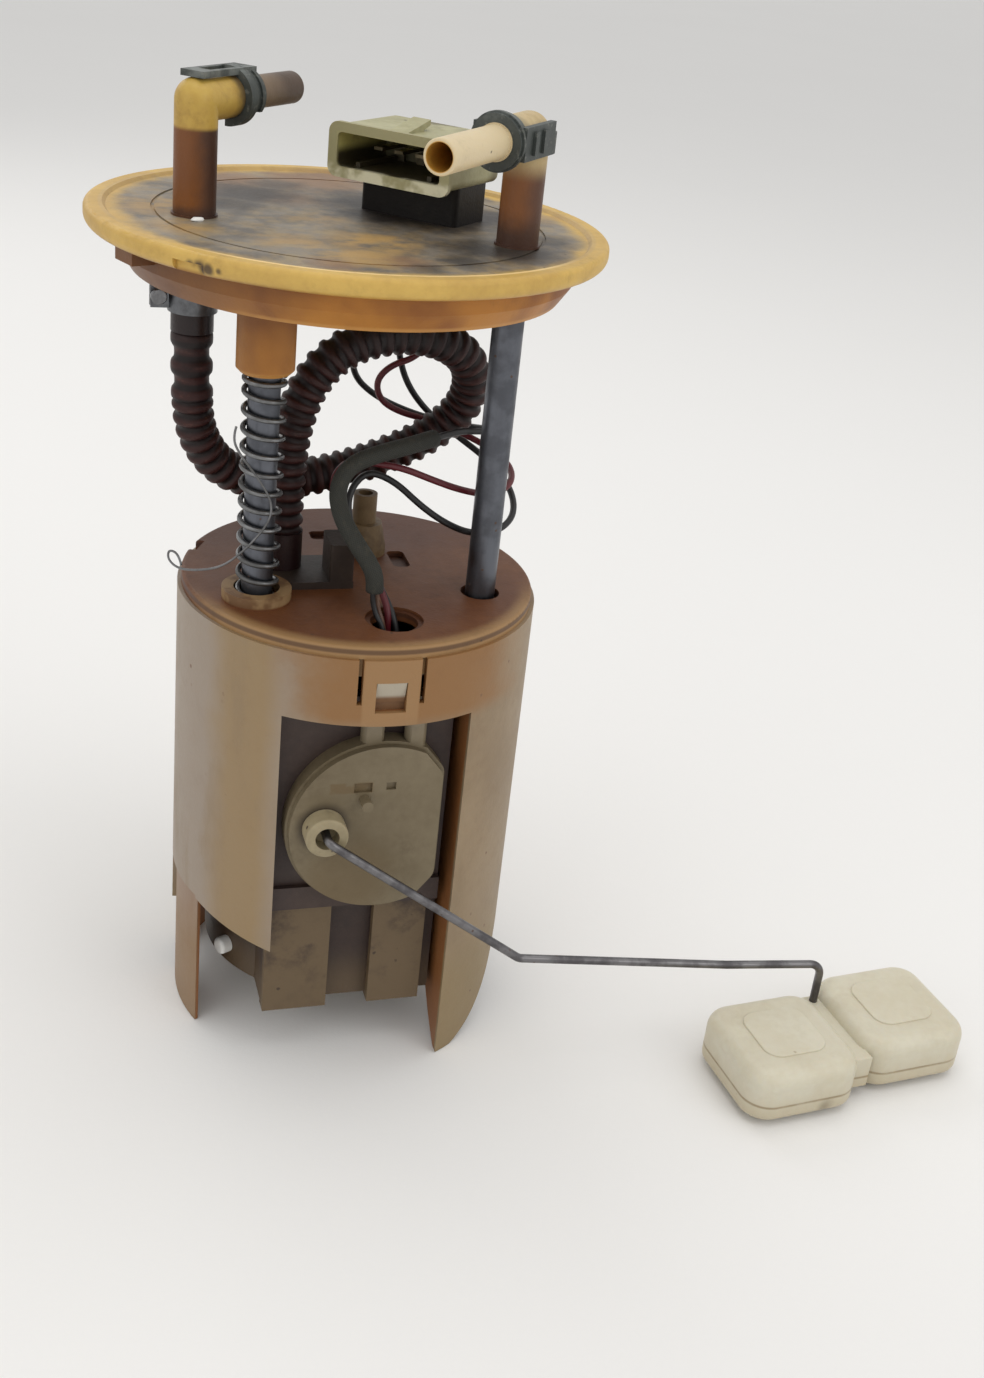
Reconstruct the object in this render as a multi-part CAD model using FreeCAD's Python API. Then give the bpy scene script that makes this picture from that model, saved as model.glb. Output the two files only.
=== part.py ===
import FreeCAD, Part
import math
import os

# In-tank fuel pump module. Millimetres, +Z up, -Y is the front with the level sender.
# The origin is on the cover's axis, in the plane where the rim rests on the tank.

V = FreeCAD.Vector
UP = V(0, 0, 1)

# Clearances
FIT = 0.05  # between pieces pushed together
RUN = 0.06  # radial, between a turning piece and its bearing
SLIP = 0.3  # between pieces that move past each other

# Cover
RIM_R = 65.0
RIM_T = 5.0
RIM_TOP_ROUND = 1.4
RIM_UNDER_ROUND = 2.4
RIM_LAND = 4.5
FIELD_DROP = 0.8
GROOVE_IN = 11.5
GROOVE_W = 0.9
GROOVE_DEPTH = 0.4
PLATE_T = 3.4
RIM_OVERHANG = 8.0
SKIRT_LAND = 5.0
SKIRT_DEPTH = 9.5
SKIRT_TAPER = 3.0
SKIRT_WALL = 3.0
COVER_RIB_T = 2.0
COVER_RIB_DEPTH = 5.0
COVER_RIB_START = 16.0
COVER_RIB_ANGLES = (75, 120, 155, 262, 295, 350)
KEY_AZ = -67.0
KEY_W = 8.0
KEY_H = 3.0
NOTCH_AZ = -45.0
NOTCH_W = 8.0
NOTCH_DEPTH = 1.6

# Reservoir: a shell with its axis beside the cover's axis
RES_X = 6.4
RES_Y = -7.8
SHELL_R = 48.4
SHELL_WALL = 2.2
SHELL_TOP_Z = -91.6
BAND_LOW_Z = -110.0
SKIN_LOW_Z = -183.0
SKIN_RISE = 5.5
WALL_LOW_Z = -196.0
FOOT_Z = -222.0
WINDOW_LEFT = -26.9
WINDOW_RIGHT = 22.3
RETURN_WALL_T = 2.2
RETURN_WALL_LAP = 5.4
FIN_RECESS = 1.2
LEFT_FIN_AZ = (-100.0, -68.0)
RIGHT_FIN_BACK_Y = -19.0
RIGHT_FIN_MID = (-33.6, -216.8)
RIGHT_FIN_TIP_Y = -40.0
REAR_FEET_AZ = ((116.0, 140.0), (220.0, 242.0))
TAB_AZ = -1.0
TAB_HALF_W = 7.4
SLOT_W = 1.3
SLOT_DEPTH = 12.4
TAB_WINDOW_W = 8.0
TAB_WINDOW_TOP = 6.2
TAB_WINDOW_H = 8.4

# Cap of the reservoir
CAP_EDGE = 1.0
CAP_T = 3.2
CAP_ROUND = 1.0
CAP_LIP_DEPTH = 5.4
CAP_LIP_WALL = 2.2
WIRE_HOLE = (2.9, -30.7)
WIRE_HOLE_R = 6.2
WIRE_HOLE_RIM_R = 7.6
WIRE_HOLE_SINK = 0.8
COLLAR_R = 9.0
COLLAR_H = 3.0
SLEEVE_R = 6.9
SLEEVE_LOW_Z = -100.0
CAP_POCKETS = ((13.0, 8.2, 4.8, 11.0), (-4.6, 26.0, 8.0, 6.0))
CAP_POCKET_DEPTH = 1.6
CAP_POCKET_ROUND = 1.6
CAP_NOTCH_AZ = 244.0
CAP_NOTCH_W = 7.0
CAP_NOTCH_DEPTH = 2.6

# Guide rods, spring and travel
ROD_R = 4.0
ROD_X = 30.2
ROD_Y = -14.9
ROD_LOW_Z = -105.0
TUBE_BORE_R = 3.0
BOSS_R = 7.2
BOSS_CHAMFER = 1.0
LEFT_BOSS_Z = -28.5
RIGHT_BOSS_Z = -9.0
BUSH_R = 5.2
BUSH_TOP_DROP = 2.6
CLIP_R = 6.8
CLIP_T = 1.2
SPRING_WIRE = 1.4
SPRING_MEAN_R = 4.95
SPRING_TURNS = 14.0

# Supply and return pipes on the cover
PIPE_R = 5.15
PIPE_BORE_R = 3.0
SPIGOT_R = 3.95
SPIGOT_ROOT_R = 4.3
SPIGOT_BORE_R = 3.1
SPIGOT_TIP_ROUND = 0.5
PIPE_AXIS_Z = 30.5
PIPE_SEAT_Z = -2.0
PIPE_HEAD = 16.0
PIPE_COLLAR_R = 5.6
PIPE_COLLAR_H = 0.5
SUPPLY_X = -39.2
SUPPLY_Y = -3.8
SUPPLY_TURN = 49.0
SUPPLY_REACH = 42.6
SUPPLY_NIPPLE_Z = -21.0
SOCKET_BOSS_Z = -5.0
RETURN_TURN = 231.0
RETURN_REACH = 51.0
BARB_H = 0.35
BARB_PITCH = 3.4

# Quick-connect retainers
RING_R = 6.3
RING_FLANGE = 0.5
RING_T = 4.6
ARM_T = 1.5
ARM_H = 7.6
HOOK_TOP = 1.0

# Electrical connector
PLUG_X = 20.5
PLUG_Y = 8.8
PLUG_TURN = 226.0
BASE_W = 28.0
BASE_D = 16.0
BASE_TOP_Z = 14.0
STEM_W = 22.0
STEM_D = 9.0
STEM_LOW_Z = -3.0
SOCKET_W = 33.0
SOCKET_H = 11.8
SOCKET_BACK = 8.0
SOCKET_FRONT = 19.2
SOCKET_WALL = 1.8
SOCKET_BACK_WALL = 3.6
SOCKET_ROUND = 2.2
LIP_T = 1.6
LATCH_W = 5.0
LATCH_Y = 0.7
LATCH_H = 2.6
LATCH_T = 1.3
PIN_COUNT = 4
PIN_PITCH = 6.0
PIN_W = 2.4
PIN_T = 0.8
PIN_TIP = 9.0
UNDER_PLUG_W = 24.0
UNDER_PLUG_D = 11.0
UNDER_PLUG_H = 7.0

# Hose: smooth cuffs at both ends, corrugated between them
HOSE_R = 5.3
CUFF_H = 14.0
CLAMP_T = 0.8
CLAMP_H = 7.5
CLAMP_EAR = 5.0
HOSE_END_X = -14.6
HOSE_END_Y = -6.0
LOWER_NIPPLE_H = 10.0

# Outlet block and regulator port on the cap
BLOCK = (-16.4, -3.9, -11.2, -0.2)
BLOCK_H = 12.4
BLOCK_BASE_H = 2.0
OUTLET_R = 3.0
OUTLET_X = -10.15
OUTLET_Y = -5.7
OUTLET_LOW_Z = -98.0
PORT_X = 4.0
PORT_Y = 14.6
PORT_BASE_R = 6.4
PORT_SHOULDER_R = 5.0
PORT_SHOULDER_H = 9.0
PORT_R = 3.3
PORT_H = 17.2
PORT_BORE_R = 2.0

# Swirl pot inside the shell, with a flat front that carries the sender
POT_GAP = 10.4
POT_Y = 5.0
POT_WALL = 2.0
POT_TOP_Z = -144.0
POT_LOW_Z = -206.0
POT_FRONT_IN = 16.4
POT_LEFT = -27.5
POT_RIGHT = 21.0
FRONT_PLATE_TOP_Z = -109.0
PILASTERS = ((-27.5, -9.5), (2.5, 17.5))
PILASTER_T = 3.5
PILASTER_TOP_Z = -172.0
POT_RIB_AZ = (100.0, 150.0, 205.0, 262.0)
POT_RIB_T = 2.4
POT_RIB_Z = (-194.0, -150.0)
PUMP_SEAT_WALL = 2.0
PUMP_SEAT_H = 14.0
VALVE_IN = 8.2
VALVE_AZ = 225.0
NUB_AZ = -63.6
NUB_Z = -199.8
NUB_R = 2.5
NUB_STEM_R = 1.6
NUB_L = 3.4

# Level sender
PLATE_LEFT = -26.4
PLATE_RIGHT = 20.0
PLATE_THICK = 3.4
PLATE_HIGH_Z = -108.0
LEDGE_H = 7.0
LEDGE_T = 1.6
DIAL_X = 0.8
DIAL_Z = -144.2
DIAL_R = 24.6
DIAL_RIGHT = 16.6
DIAL_CORNER = 4.0
DIAL_STEP = 0.8
CASE_DEPTH = 4.8
CASE_WALL = 1.6
DIAL_T = 2.0
DIAL_CHAMFER = 9.0
FINGERS = ((-2.4, 3.1), (9.1, 2.9))
FINGER_TOP_Z = -106.0
POST_X = -4.2
POST_Z = -135.0
POST_R = 1.5
POST_H = 4.0
DIAL_MARKS = ((-7.2, -2.4, -132.8, -130.0), (1.4, 4.0, -132.4, -130.2))
HUB_X = -14.8
HUB_Z = -142.8
HUB_R = 5.7
HUB_BORE_R = 3.2
HUB_SHAFT_R = 4.0
HUB_H = 5.6
CARD_T = 0.8
CARD = (-16.5, 10.0, -12.0, 12.5)
WIPER_T = 0.6

# Float arm: bent wire, and a float of two lobes
ARM_R = 1.2
ARM_OUT = 2.0
ARM_BEND = (41.6, -185.2)
ARM_MID = (106.0, -193.2)
ARM_DROP = 17.5
ARM_BEND_R = 4.0
FLOAT_TURN = 5.0
LOBE_W = 36.0
LOBE_L = 36.0
LOBE_H = 16.0
LOBE_ROUND = 8.0
LOBE_GAP = 4.0
LOBE_STAGGER = 5.0
FLOAT_X = 137.6
FLOAT_Y = -66.4
FLOAT_Z = -212.5
FLOAT_WALL = 1.2
SEAM_DROP = 2.2
PANEL = 20.0
PANEL_H = 0.5
WEB_L = 30.0

# Electric pump
PUMP_X = 0.0
PUMP_Y = 5.0
PUMP_R = 19.0
CASE_T = 1.4
PUMP_CASE_Z = (-192.0, -120.0)
INLET_H = 9.0
OUTLET_COVER_H = 9.0
SHAFT_R = 1.6
BEARING_R = 3.4
BEARING_H = 5.0
ARMATURE_R = 11.6
ARMATURE_Z = (-170.0, -138.0)
MAGNET_INNER_R = 12.2
MAGNET_Z = (-176.0, -132.0)
MAGNET_SPAN = 130.0
SLOTS = 8
COMMUTATOR_R = 6.0
COMMUTATOR_Z = (-135.0, -129.0)
BRUSH = (4.0, 5.0, 7.0)
IMPELLER_R = 14.0
IMPELLER_T = 3.0
IMPELLER_BLADES = 24
CUSHION_T = 2.4
CUSHION_H = 13.8
STRAINER_L = 62.0
STRAINER_W = 34.0
STRAINER_H = 7.0
STRAINER_TOP_Z = -210.5
STRAINER_NECK_R = 5.0

# Wires between the cover and the reservoir
WIRE_R = 0.9
TAIL_R = 0.7
SLEEVE_TUBE_R = 2.3
WIRE_PLUG_TOP_Z = -99.3
ARC_SHARE = 0.45

FIELD_R = RIM_R - RIM_LAND
SKIRT_R = RIM_R - RIM_OVERHANG
GROOVE_R = FIELD_R - GROOVE_IN
LEFT_ROD = (RES_X - ROD_X, RES_Y + ROD_Y)
RIGHT_ROD = (RES_X + ROD_X, RES_Y + ROD_Y)
SHELL_INNER_R = SHELL_R - SHELL_WALL
CAP_R = SHELL_R - CAP_EDGE
POT_R = SHELL_R - POT_GAP
POT_FRONT_Y = POT_FRONT_IN - SHELL_R
RETURN_WALL_INNER_Y = POT_FRONT_Y + RETURN_WALL_LAP
SPIGOT_ROOT_L = RING_T + 6 * FIT
CAP_TOP_Z = SHELL_TOP_Z + CAP_T
FIELD_Z = RIM_T - FIELD_DROP
PLATE_UNDER_Z = FIELD_Z - PLATE_T
UNDER_PLUG_Z = STEM_LOW_Z - FIT - UNDER_PLUG_H
HOSE_TOP_Z = -24.0
HOSE_LOW_Z = CAP_TOP_Z + BLOCK_BASE_H + LOWER_NIPPLE_H + SLIP
WIRE_LOW_Z = WIRE_PLUG_TOP_Z + SLIP
BUSH_TOP_Z = CAP_TOP_Z - BUSH_TOP_DROP
PUMP_AXIS = (RES_X + PUMP_X, RES_Y + PUMP_Y)
POT_AXIS = (RES_X, RES_Y + POT_Y)

HOSE_ROUTE = (
    (SUPPLY_X, SUPPLY_Y, HOSE_TOP_Z),
    (SUPPLY_X, SUPPLY_Y, -38.0),
    (-37.6, -1.4, -52.0),
    (-30.0, 2.6, -63.2),
    (-17.0, 6.5, -67.8),
    (-2.0, 8.8, -66.8),
    (13.0, 10.2, -62.8),
    (28.0, 9.4, -55.6),
    (37.2, 6.5, -45.0),
    (36.0, 2.0, -32.6),
    (26.0, -2.4, -25.0),
    (12.0, -5.6, -22.8),
    (-1.4, -7.2, -26.5),
    (-9.8, -7.2, -35.6),
    (-13.6, -6.6, -48.0),
    (HOSE_END_X, HOSE_END_Y, -62.0),
    (HOSE_END_X, HOSE_END_Y, HOSE_LOW_Z),
)
BLACK_WIRE_ROUTE = (
    (18.3, 10.9, UNDER_PLUG_Z),
    (18.3, 10.9, -18.0),
    (18.6, 16.0, -26.5),
    (20.0, 21.0, -35.0),
    (23.5, 22.6, -45.0),
    (30.5, 22.4, -53.5),
    (39.5, 19.0, -59.5),
    (47.0, 11.5, -64.0),
    (50.8, 2.0, -68.5),
    (49.4, -7.4, -72.6),
    (43.0, -13.4, -75.0),
    (34.6, -15.4, -74.6),
    (27.2, -16.4, -71.2),
    (20.2, -16.4, -66.4),
    (13.2, -15.0, -61.6),
    (4.6, -17.4, -64.0),
    (4.8, -22.8, -70.8),
    (9.2, -27.0, -77.0),
    (11.8, -31.4, -83.6),
    (11.6, -35.6, -91.6),
    (11.6, -35.6, WIRE_LOW_Z),
)
RED_WIRE_ROUTE = (
    (22.7, 6.7, UNDER_PLUG_Z),
    (22.7, 6.7, -17.0),
    (26.0, 11.0, -24.0),
    (28.0, 16.4, -30.5),
    (24.4, 18.4, -36.4),
    (17.8, 18.6, -38.6),
    (13.9, 18.7, -43.0),
    (15.2, 18.6, -48.4),
    (20.8, 18.4, -51.8),
    (29.0, 18.0, -53.8),
    (38.0, 14.6, -56.2),
    (45.4, 7.6, -58.6),
    (49.0, -1.4, -60.8),
    (46.6, -9.6, -63.0),
    (39.6, -13.4, -64.4),
    (31.0, -14.8, -62.4),
    (22.6, -15.4, -59.2),
    (14.6, -14.6, -56.2),
    (7.0, -13.6, -55.2),
    (0.8, -14.8, -57.4),
    (-0.8, -19.0, -62.6),
    (1.6, -24.4, -68.8),
    (7.0, -29.6, -75.6),
    (11.6, -34.4, -82.6),
    (13.0, -38.6, -91.0),
    (13.0, -38.6, WIRE_LOW_Z),
)
SENDER_LEAD_ROUTE = (
    (14.0, 15.0, UNDER_PLUG_Z),
    (14.0, 15.0, -18.0),
    (10.6, 18.0, -26.5),
    (7.4, 21.5, -35.0),
    (8.8, 24.6, -43.6),
    (15.6, 26.4, -49.8),
    (25.0, 26.8, -54.2),
    (35.0, 24.6, -56.6),
    (43.5, 17.6, -56.0),
    (47.6, 8.5, -53.4),
    (45.4, 0.2, -51.0),
    (38.6, -2.6, -50.2),
    (32.0, -3.0, -50.0),
    (24.0, -9.0, -50.0),
)
SLEEVE_ROUTE = (
    (24.0, -9.0, -50.0),
    (16.0, -15.0, -50.0),
    (7.0, -18.8, -50.8),
    (-0.8, -20.8, -53.0),
    (-4.4, -22.8, -58.4),
    (-3.8, -26.2, -64.6),
    (-0.4, -30.4, -70.4),
    (3.4, -34.0, -75.6),
    (4.4, -35.0, -79.0),
    (4.4, -35.0, -82.0),
)
BROWN_TAIL_ROUTE = (
    (5.2, -34.4, -82.0),
    (5.2, -34.4, -86.2),
    (7.4, -36.8, -91.6),
    (7.4, -36.8, WIRE_LOW_Z),
)
DARK_TAIL_ROUTE = (
    (3.8, -35.8, -82.0),
    (3.8, -35.8, -86.2),
    (7.2, -39.4, -92.0),
    (7.2, -39.4, WIRE_LOW_Z),
)


def cylinder(r, z0, z1, at=(0, 0)):
    """Solid cylinder about a vertical axis."""
    return Part.makeCylinder(r, z1 - z0, V(at[0], at[1], z0))


def ring(outer, inner, z0, z1, at=(0, 0)):
    """Tube about a vertical axis."""
    return cylinder(outer, z0, z1, at).cut(cylinder(inner, z0 - 1, z1 + 1, at))


def block(x0, x1, y0, y1, z0, z1):
    """Box between two corners."""
    return Part.makeBox(x1 - x0, y1 - y0, z1 - z0, V(x0, y0, z0))


def turned(profile, at=(0, 0)):
    """Solid of revolution of a closed (radius, height) outline about a vertical axis."""
    points = [V(r, 0, z) for r, z in profile]
    face = Part.Face(Part.makePolygon(points + points[:1]))
    solid = face.revolve(V(0, 0, 0), UP, 360)
    solid.translate(V(at[0], at[1], 0))
    return solid


def polar(r, az, at=(RES_X, RES_Y)):
    """Plan position at an azimuth in degrees, counted from the front towards +X."""
    a = math.radians(az)
    return (at[0] + r * math.sin(a), at[1] - r * math.cos(a))


def wedge(az0, az1, z0, z1, at=(RES_X, RES_Y), reach=80.0):
    """Sector of a round plate between two azimuths."""
    steps = max(2, int(math.ceil((az1 - az0) / 40.0)) + 1)
    plan = [polar(reach, az0 + (az1 - az0) * i / (steps - 1), at) for i in range(steps)]
    points = [V(at[0], at[1], z0)] + [V(x, y, z0) for x, y in plan]
    return Part.Face(Part.makePolygon(points + points[:1])).extrude(V(0, 0, z1 - z0))


def edges_where(shape, test):
    """Edges whose centre of mass passes a test."""
    return [edge for edge in shape.Edges if test(edge.CenterOfMass, edge)]


def on_level(z):
    """Test for edges that lie in one horizontal plane."""
    return lambda c, edge: abs(edge.BoundBox.ZMin - z) < 1e-4 and abs(edge.BoundBox.ZMax - z) < 1e-4


def moved(shape, x=0.0, y=0.0, z=0.0):
    """The shape, shifted."""
    shape.translate(V(x, y, z))
    return shape


def turned_about_z(shape, degrees, at=(0, 0)):
    """A shape modelled about the origin, turned and put at its place."""
    shape.rotate(V(0, 0, 0), UP, degrees)
    shape.translate(V(at[0], at[1], 0))
    return shape


def joined(shapes):
    """One solid out of touching shapes."""
    whole = shapes[0].fuse(list(shapes[1:])) if len(shapes) > 1 else shapes[0]
    return whole.removeSplitter()


def route_wire(points):
    """Straight runs joined by tangent arcs, each as large as its two runs allow."""
    corners = [V(*p) for p in points]
    edges = []
    radii = []
    start = corners[0]
    for before, corner, after in zip(corners, corners[1:], corners[2:]):
        into = (corner - before)
        out = (after - corner)
        reach = ARC_SHARE * min(into.Length, out.Length)
        half_turn = into.getAngle(out) / 2
        radius = reach / math.tan(half_turn)
        into.normalize()
        out.normalize()
        first = corner - into * reach
        last = corner + out * reach
        inward = (out - into).normalize()
        centre = corner + inward * (radius / math.cos(half_turn))
        middle = centre - inward * radius
        edges.append(Part.LineSegment(start, first).toShape())
        edges.append(Part.Arc(first, middle, last).toShape())
        radii.append(radius)
        start = last
    edges.append(Part.LineSegment(start, corners[-1]).toShape())
    return Part.Wire(edges), radii


def swept_tube(name, points, r):
    """Solid round tube along a route. Prints its radii and compares its volume."""
    path, radii = route_wire(points)
    direction = V(*points[1]) - V(*points[0])
    section = Part.Wire(Part.makeCircle(r, V(*points[0]), direction))
    tube = path.makePipeShell([section], True, False)
    expected = math.pi * r * r * path.Length
    print(name, "length %.1f" % path.Length, "volume ratio %.4f" % (tube.Volume / expected))
    print("  radii", " ".join("%.1f" % value for value in radii))
    return tube


def cover():
    """Round plate with a rim, a tapered skirt, rod bosses, ribs and the openings of its fittings."""
    tip_r = SKIRT_R - SKIRT_TAPER
    plate = turned((
        (0, PLATE_UNDER_Z), (SKIRT_R - SKIRT_WALL, PLATE_UNDER_Z),
        (SKIRT_R - SKIRT_WALL, -SKIRT_LAND), (tip_r - SKIRT_WALL, -SKIRT_DEPTH),
        (tip_r, -SKIRT_DEPTH), (SKIRT_R, -SKIRT_LAND), (SKIRT_R, 0), (RIM_R, 0), (RIM_R, RIM_T),
        (FIELD_R, RIM_T), (FIELD_R - FIELD_DROP, FIELD_Z), (0, FIELD_Z),
    ))
    plate = plate.makeFillet(
        RIM_TOP_ROUND, edges_where(plate, lambda c, e: on_level(RIM_T)(c, e) and e.BoundBox.XMax > RIM_R - 1))
    plate = plate.makeFillet(
        RIM_UNDER_ROUND, edges_where(plate, lambda c, e: on_level(0)(c, e) and e.BoundBox.XMax > RIM_R - 1))
    additions = [cylinder(BOSS_R, LEFT_BOSS_Z, FIELD_Z - 1, LEFT_ROD)]
    low = edges_where(additions[0], on_level(LEFT_BOSS_Z))
    additions[0] = additions[0].makeChamfer(BOSS_CHAMFER, low)
    additions.append(cylinder(BOSS_R, RIGHT_BOSS_Z, FIELD_Z - 1, RIGHT_ROD))
    additions.append(cylinder(BOSS_R, SOCKET_BOSS_Z, FIELD_Z - 1, (SUPPLY_X, SUPPLY_Y)))
    for angle in COVER_RIB_ANGLES:
        rib = block(
            COVER_RIB_START, SKIRT_R - SKIRT_WALL + 1, -COVER_RIB_T / 2, COVER_RIB_T / 2,
            PLATE_UNDER_Z - COVER_RIB_DEPTH, PLATE_UNDER_Z + 1)
        additions.append(turned_about_z(rib, angle))
    key = block(-KEY_W / 2, KEY_W / 2, -RIM_R + RIM_UNDER_ROUND, -SKIRT_R + 1, -KEY_H, 1)
    additions.append(turned_about_z(key, KEY_AZ))
    body = joined([plate] + additions)
    body = body.cut(ring(GROOVE_R, GROOVE_R - GROOVE_W, FIELD_Z - GROOVE_DEPTH, FIELD_Z + 1))
    for at, wide_r in ((LEFT_ROD, 0), (RIGHT_ROD, PIPE_R), ((SUPPLY_X, SUPPLY_Y), PIPE_R)):
        if wide_r:
            body = body.cut(cylinder(wide_r + FIT, PIPE_SEAT_Z, RIM_T + 1, at))
            body = body.cut(cylinder(ROD_R + FIT, SOCKET_BOSS_Z - SKIRT_DEPTH, PIPE_SEAT_Z + 1, at))
        else:
            body = body.cut(cylinder(ROD_R + FIT, LEFT_BOSS_Z - 1, PIPE_SEAT_Z, at))
    slot = block(
        -STEM_D / 2 - FIT, STEM_D / 2 + FIT, -STEM_W / 2 - FIT, STEM_W / 2 + FIT, -SKIRT_DEPTH, RIM_T)
    body = body.cut(turned_about_z(slot, PLUG_TURN, (PLUG_X, PLUG_Y)))
    notch = block(-NOTCH_W / 2, NOTCH_W / 2, -RIM_R - 1, -RIM_R + NOTCH_DEPTH, -1, RIM_T * 0.55)
    return body.cut(turned_about_z(notch, NOTCH_AZ))


def barbs(r, z0, z1, at):
    """Saw-tooth rings on the end of a nipple."""
    count = int((z1 - z0) / BARB_PITCH)
    rings = []
    for i in range(count):
        z = z0 + BARB_PITCH * i
        profile = ((r - 0.5, z), (r, z), (r + BARB_H, z + BARB_PITCH * 0.7), (r, z + BARB_PITCH * 0.7),
                   (r - 0.5, z + BARB_PITCH * 0.7))
        rings.append(turned(profile, at))
    return rings


def elbow(reach, low_z, stem_r):
    """Moulded elbow about the origin: upright pipe, wide head and quick-connect spigot along +X."""
    along = V(1, 0, 0)
    corner = V(0, 0, PIPE_AXIS_Z)
    solids = [
        cylinder(PIPE_R, PIPE_SEAT_Z, PIPE_AXIS_Z),
        Part.makeSphere(PIPE_R, corner),
        Part.makeCylinder(PIPE_R, PIPE_HEAD, corner, along),
        cylinder(PIPE_COLLAR_R, FIELD_Z, FIELD_Z + PIPE_COLLAR_H),
    ]
    solids.append(Part.makeCylinder(SPIGOT_ROOT_R, PIPE_HEAD + SPIGOT_ROOT_L, corner, along))
    spigot = Part.makeCylinder(SPIGOT_R, reach - PIPE_HEAD + 1, V(PIPE_HEAD - 1, 0, PIPE_AXIS_Z), along)
    tip = edges_where(spigot, lambda c, e: abs(c.x - reach) < 1e-4 and e.BoundBox.XLength < 1e-4)
    solids.append(spigot.makeFillet(SPIGOT_TIP_ROUND, tip))
    if low_z < PIPE_SEAT_Z:
        solids.append(cylinder(stem_r, low_z, PIPE_SEAT_Z + 1))
        solids.extend(barbs(stem_r, low_z, low_z + 3 * BARB_PITCH, (0, 0)))
    body = joined(solids)
    body = body.cut(cylinder(PIPE_BORE_R, low_z - 1, PIPE_AXIS_Z))
    body = body.cut(Part.makeCylinder(PIPE_BORE_R, PIPE_HEAD, corner, along))
    body = body.cut(Part.makeSphere(PIPE_BORE_R, corner))
    mouth = Part.makeCylinder(SPIGOT_BORE_R, reach - PIPE_HEAD + 2, V(PIPE_HEAD - 1, 0, PIPE_AXIS_Z), along)
    return body.cut(mouth)


def supply_pipe():
    """Supply elbow, whose stem passes the cover and ends in the nipple of the hose."""
    pipe = elbow(SUPPLY_REACH, SUPPLY_NIPPLE_Z, ROD_R)
    return turned_about_z(pipe, SUPPLY_TURN, (SUPPLY_X, SUPPLY_Y))


def return_pipe():
    """Return elbow, which opens into the hollow guide rod below it."""
    return turned_about_z(elbow(RETURN_REACH, PIPE_SEAT_Z, ROD_R), RETURN_TURN, RIGHT_ROD)


def retainer_ring(start):
    """Ring round the spigot's root, about the spigot axis along +X."""
    along = V(1, 0, 0)
    outer = Part.makeCylinder(RING_R, RING_T, V(start, 0, PIPE_AXIS_Z), along)
    outer = outer.fuse(Part.makeCylinder(RING_R + RING_FLANGE, 1.2, V(start + RING_T / 2, 0, PIPE_AXIS_Z), along))
    return outer.cut(Part.makeCylinder(SPIGOT_ROOT_R + FIT, RING_T + 2, V(start - 1, 0, PIPE_AXIS_Z), along))


def retainer_arm(side, start, end):
    """Flat arm beside the pipe's head, with two ratchet steps on its outer face."""
    inner = PIPE_R + FIT
    y0, y1 = sorted((side * inner, side * (inner + ARM_T)))
    z0 = PIPE_AXIS_Z - ARM_H / 2
    arm = block(start, end, y0, y1, z0, z0 + ARM_H)
    steps = []
    for i in range(2):
        x = start + (end - start) * (0.35 + 0.3 * i)
        s0, s1 = sorted((side * (inner + ARM_T - 0.2), side * (inner + ARM_T + 0.8)))
        steps.append(block(x, x + 2.2, s0, s1, z0 + 1.2, z0 + ARM_H - 1.2))
    return joined([arm] + steps)


def return_retainer():
    """Whole retainer: ring, two arms and the rounded hook that closes behind the upright pipe."""
    start = PIPE_HEAD + FIT
    reach = PIPE_R + FIT + ARM_T
    hook = ring(reach, PIPE_R + FIT, PIPE_AXIS_Z - ARM_H / 2, PIPE_AXIS_Z + HOOK_TOP)
    hook = hook.cut(block(FIT, 2 * reach, -2 * reach, 2 * reach, 0, 2 * PIPE_AXIS_Z))
    arms = [retainer_arm(side, 0, start + RING_T / 2) for side in (-1, 1)]
    collar = Part.makeCylinder(SPIGOT_ROOT_R + FIT, RING_T + 2, V(start - 1, 0, PIPE_AXIS_Z), V(1, 0, 0))
    piece = joined([retainer_ring(start), hook] + arms).cut(collar)
    head = Part.makeCylinder(PIPE_R + FIT, PIPE_HEAD + FIT, V(0, 0, PIPE_AXIS_Z), V(1, 0, 0))
    piece = piece.cut(head).cut(cylinder(PIPE_R + FIT, PIPE_AXIS_Z - ARM_H, PIPE_AXIS_Z + ARM_H))
    return turned_about_z(piece, RETURN_TURN, RIGHT_ROD)


def supply_retainer():
    """Broken retainer: half a ring, the strap over the pipe's head and one curled claw."""
    start = PIPE_HEAD + FIT
    along = V(1, 0, 0)
    ring_part = retainer_ring(start)
    lower = block(start - 2, start + RING_T + 2, -12, 12, PIPE_AXIS_Z - 12, PIPE_AXIS_Z - 3.4)
    ring_part = ring_part.cut(lower)
    strap_z = PIPE_AXIS_Z + PIPE_R + FIT
    strap = block(-2, start + RING_T, -3.2, 3.2, strap_z, strap_z + 1.5)
    strap = strap.cut(block(3, start - 3, -1.6, 1.6, strap_z - 1, strap_z + 3))
    claw = Part.makeCylinder(PIPE_R + 1.9, 3.0, V(start - 3, 0, PIPE_AXIS_Z), along)
    claw = claw.cut(Part.makeCylinder(PIPE_R + FIT, 5.0, V(start - 4, 0, PIPE_AXIS_Z), along))
    claw = claw.cut(block(start - 4, start + 1, 0.5, 12, PIPE_AXIS_Z - 12, PIPE_AXIS_Z + 5.4))
    piece = joined([ring_part, strap, claw])
    piece = piece.cut(Part.makeCylinder(PIPE_R + FIT, PIPE_HEAD + FIT, V(0, 0, PIPE_AXIS_Z), along))
    return turned_about_z(piece, SUPPLY_TURN, (SUPPLY_X, SUPPLY_Y))


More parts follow.
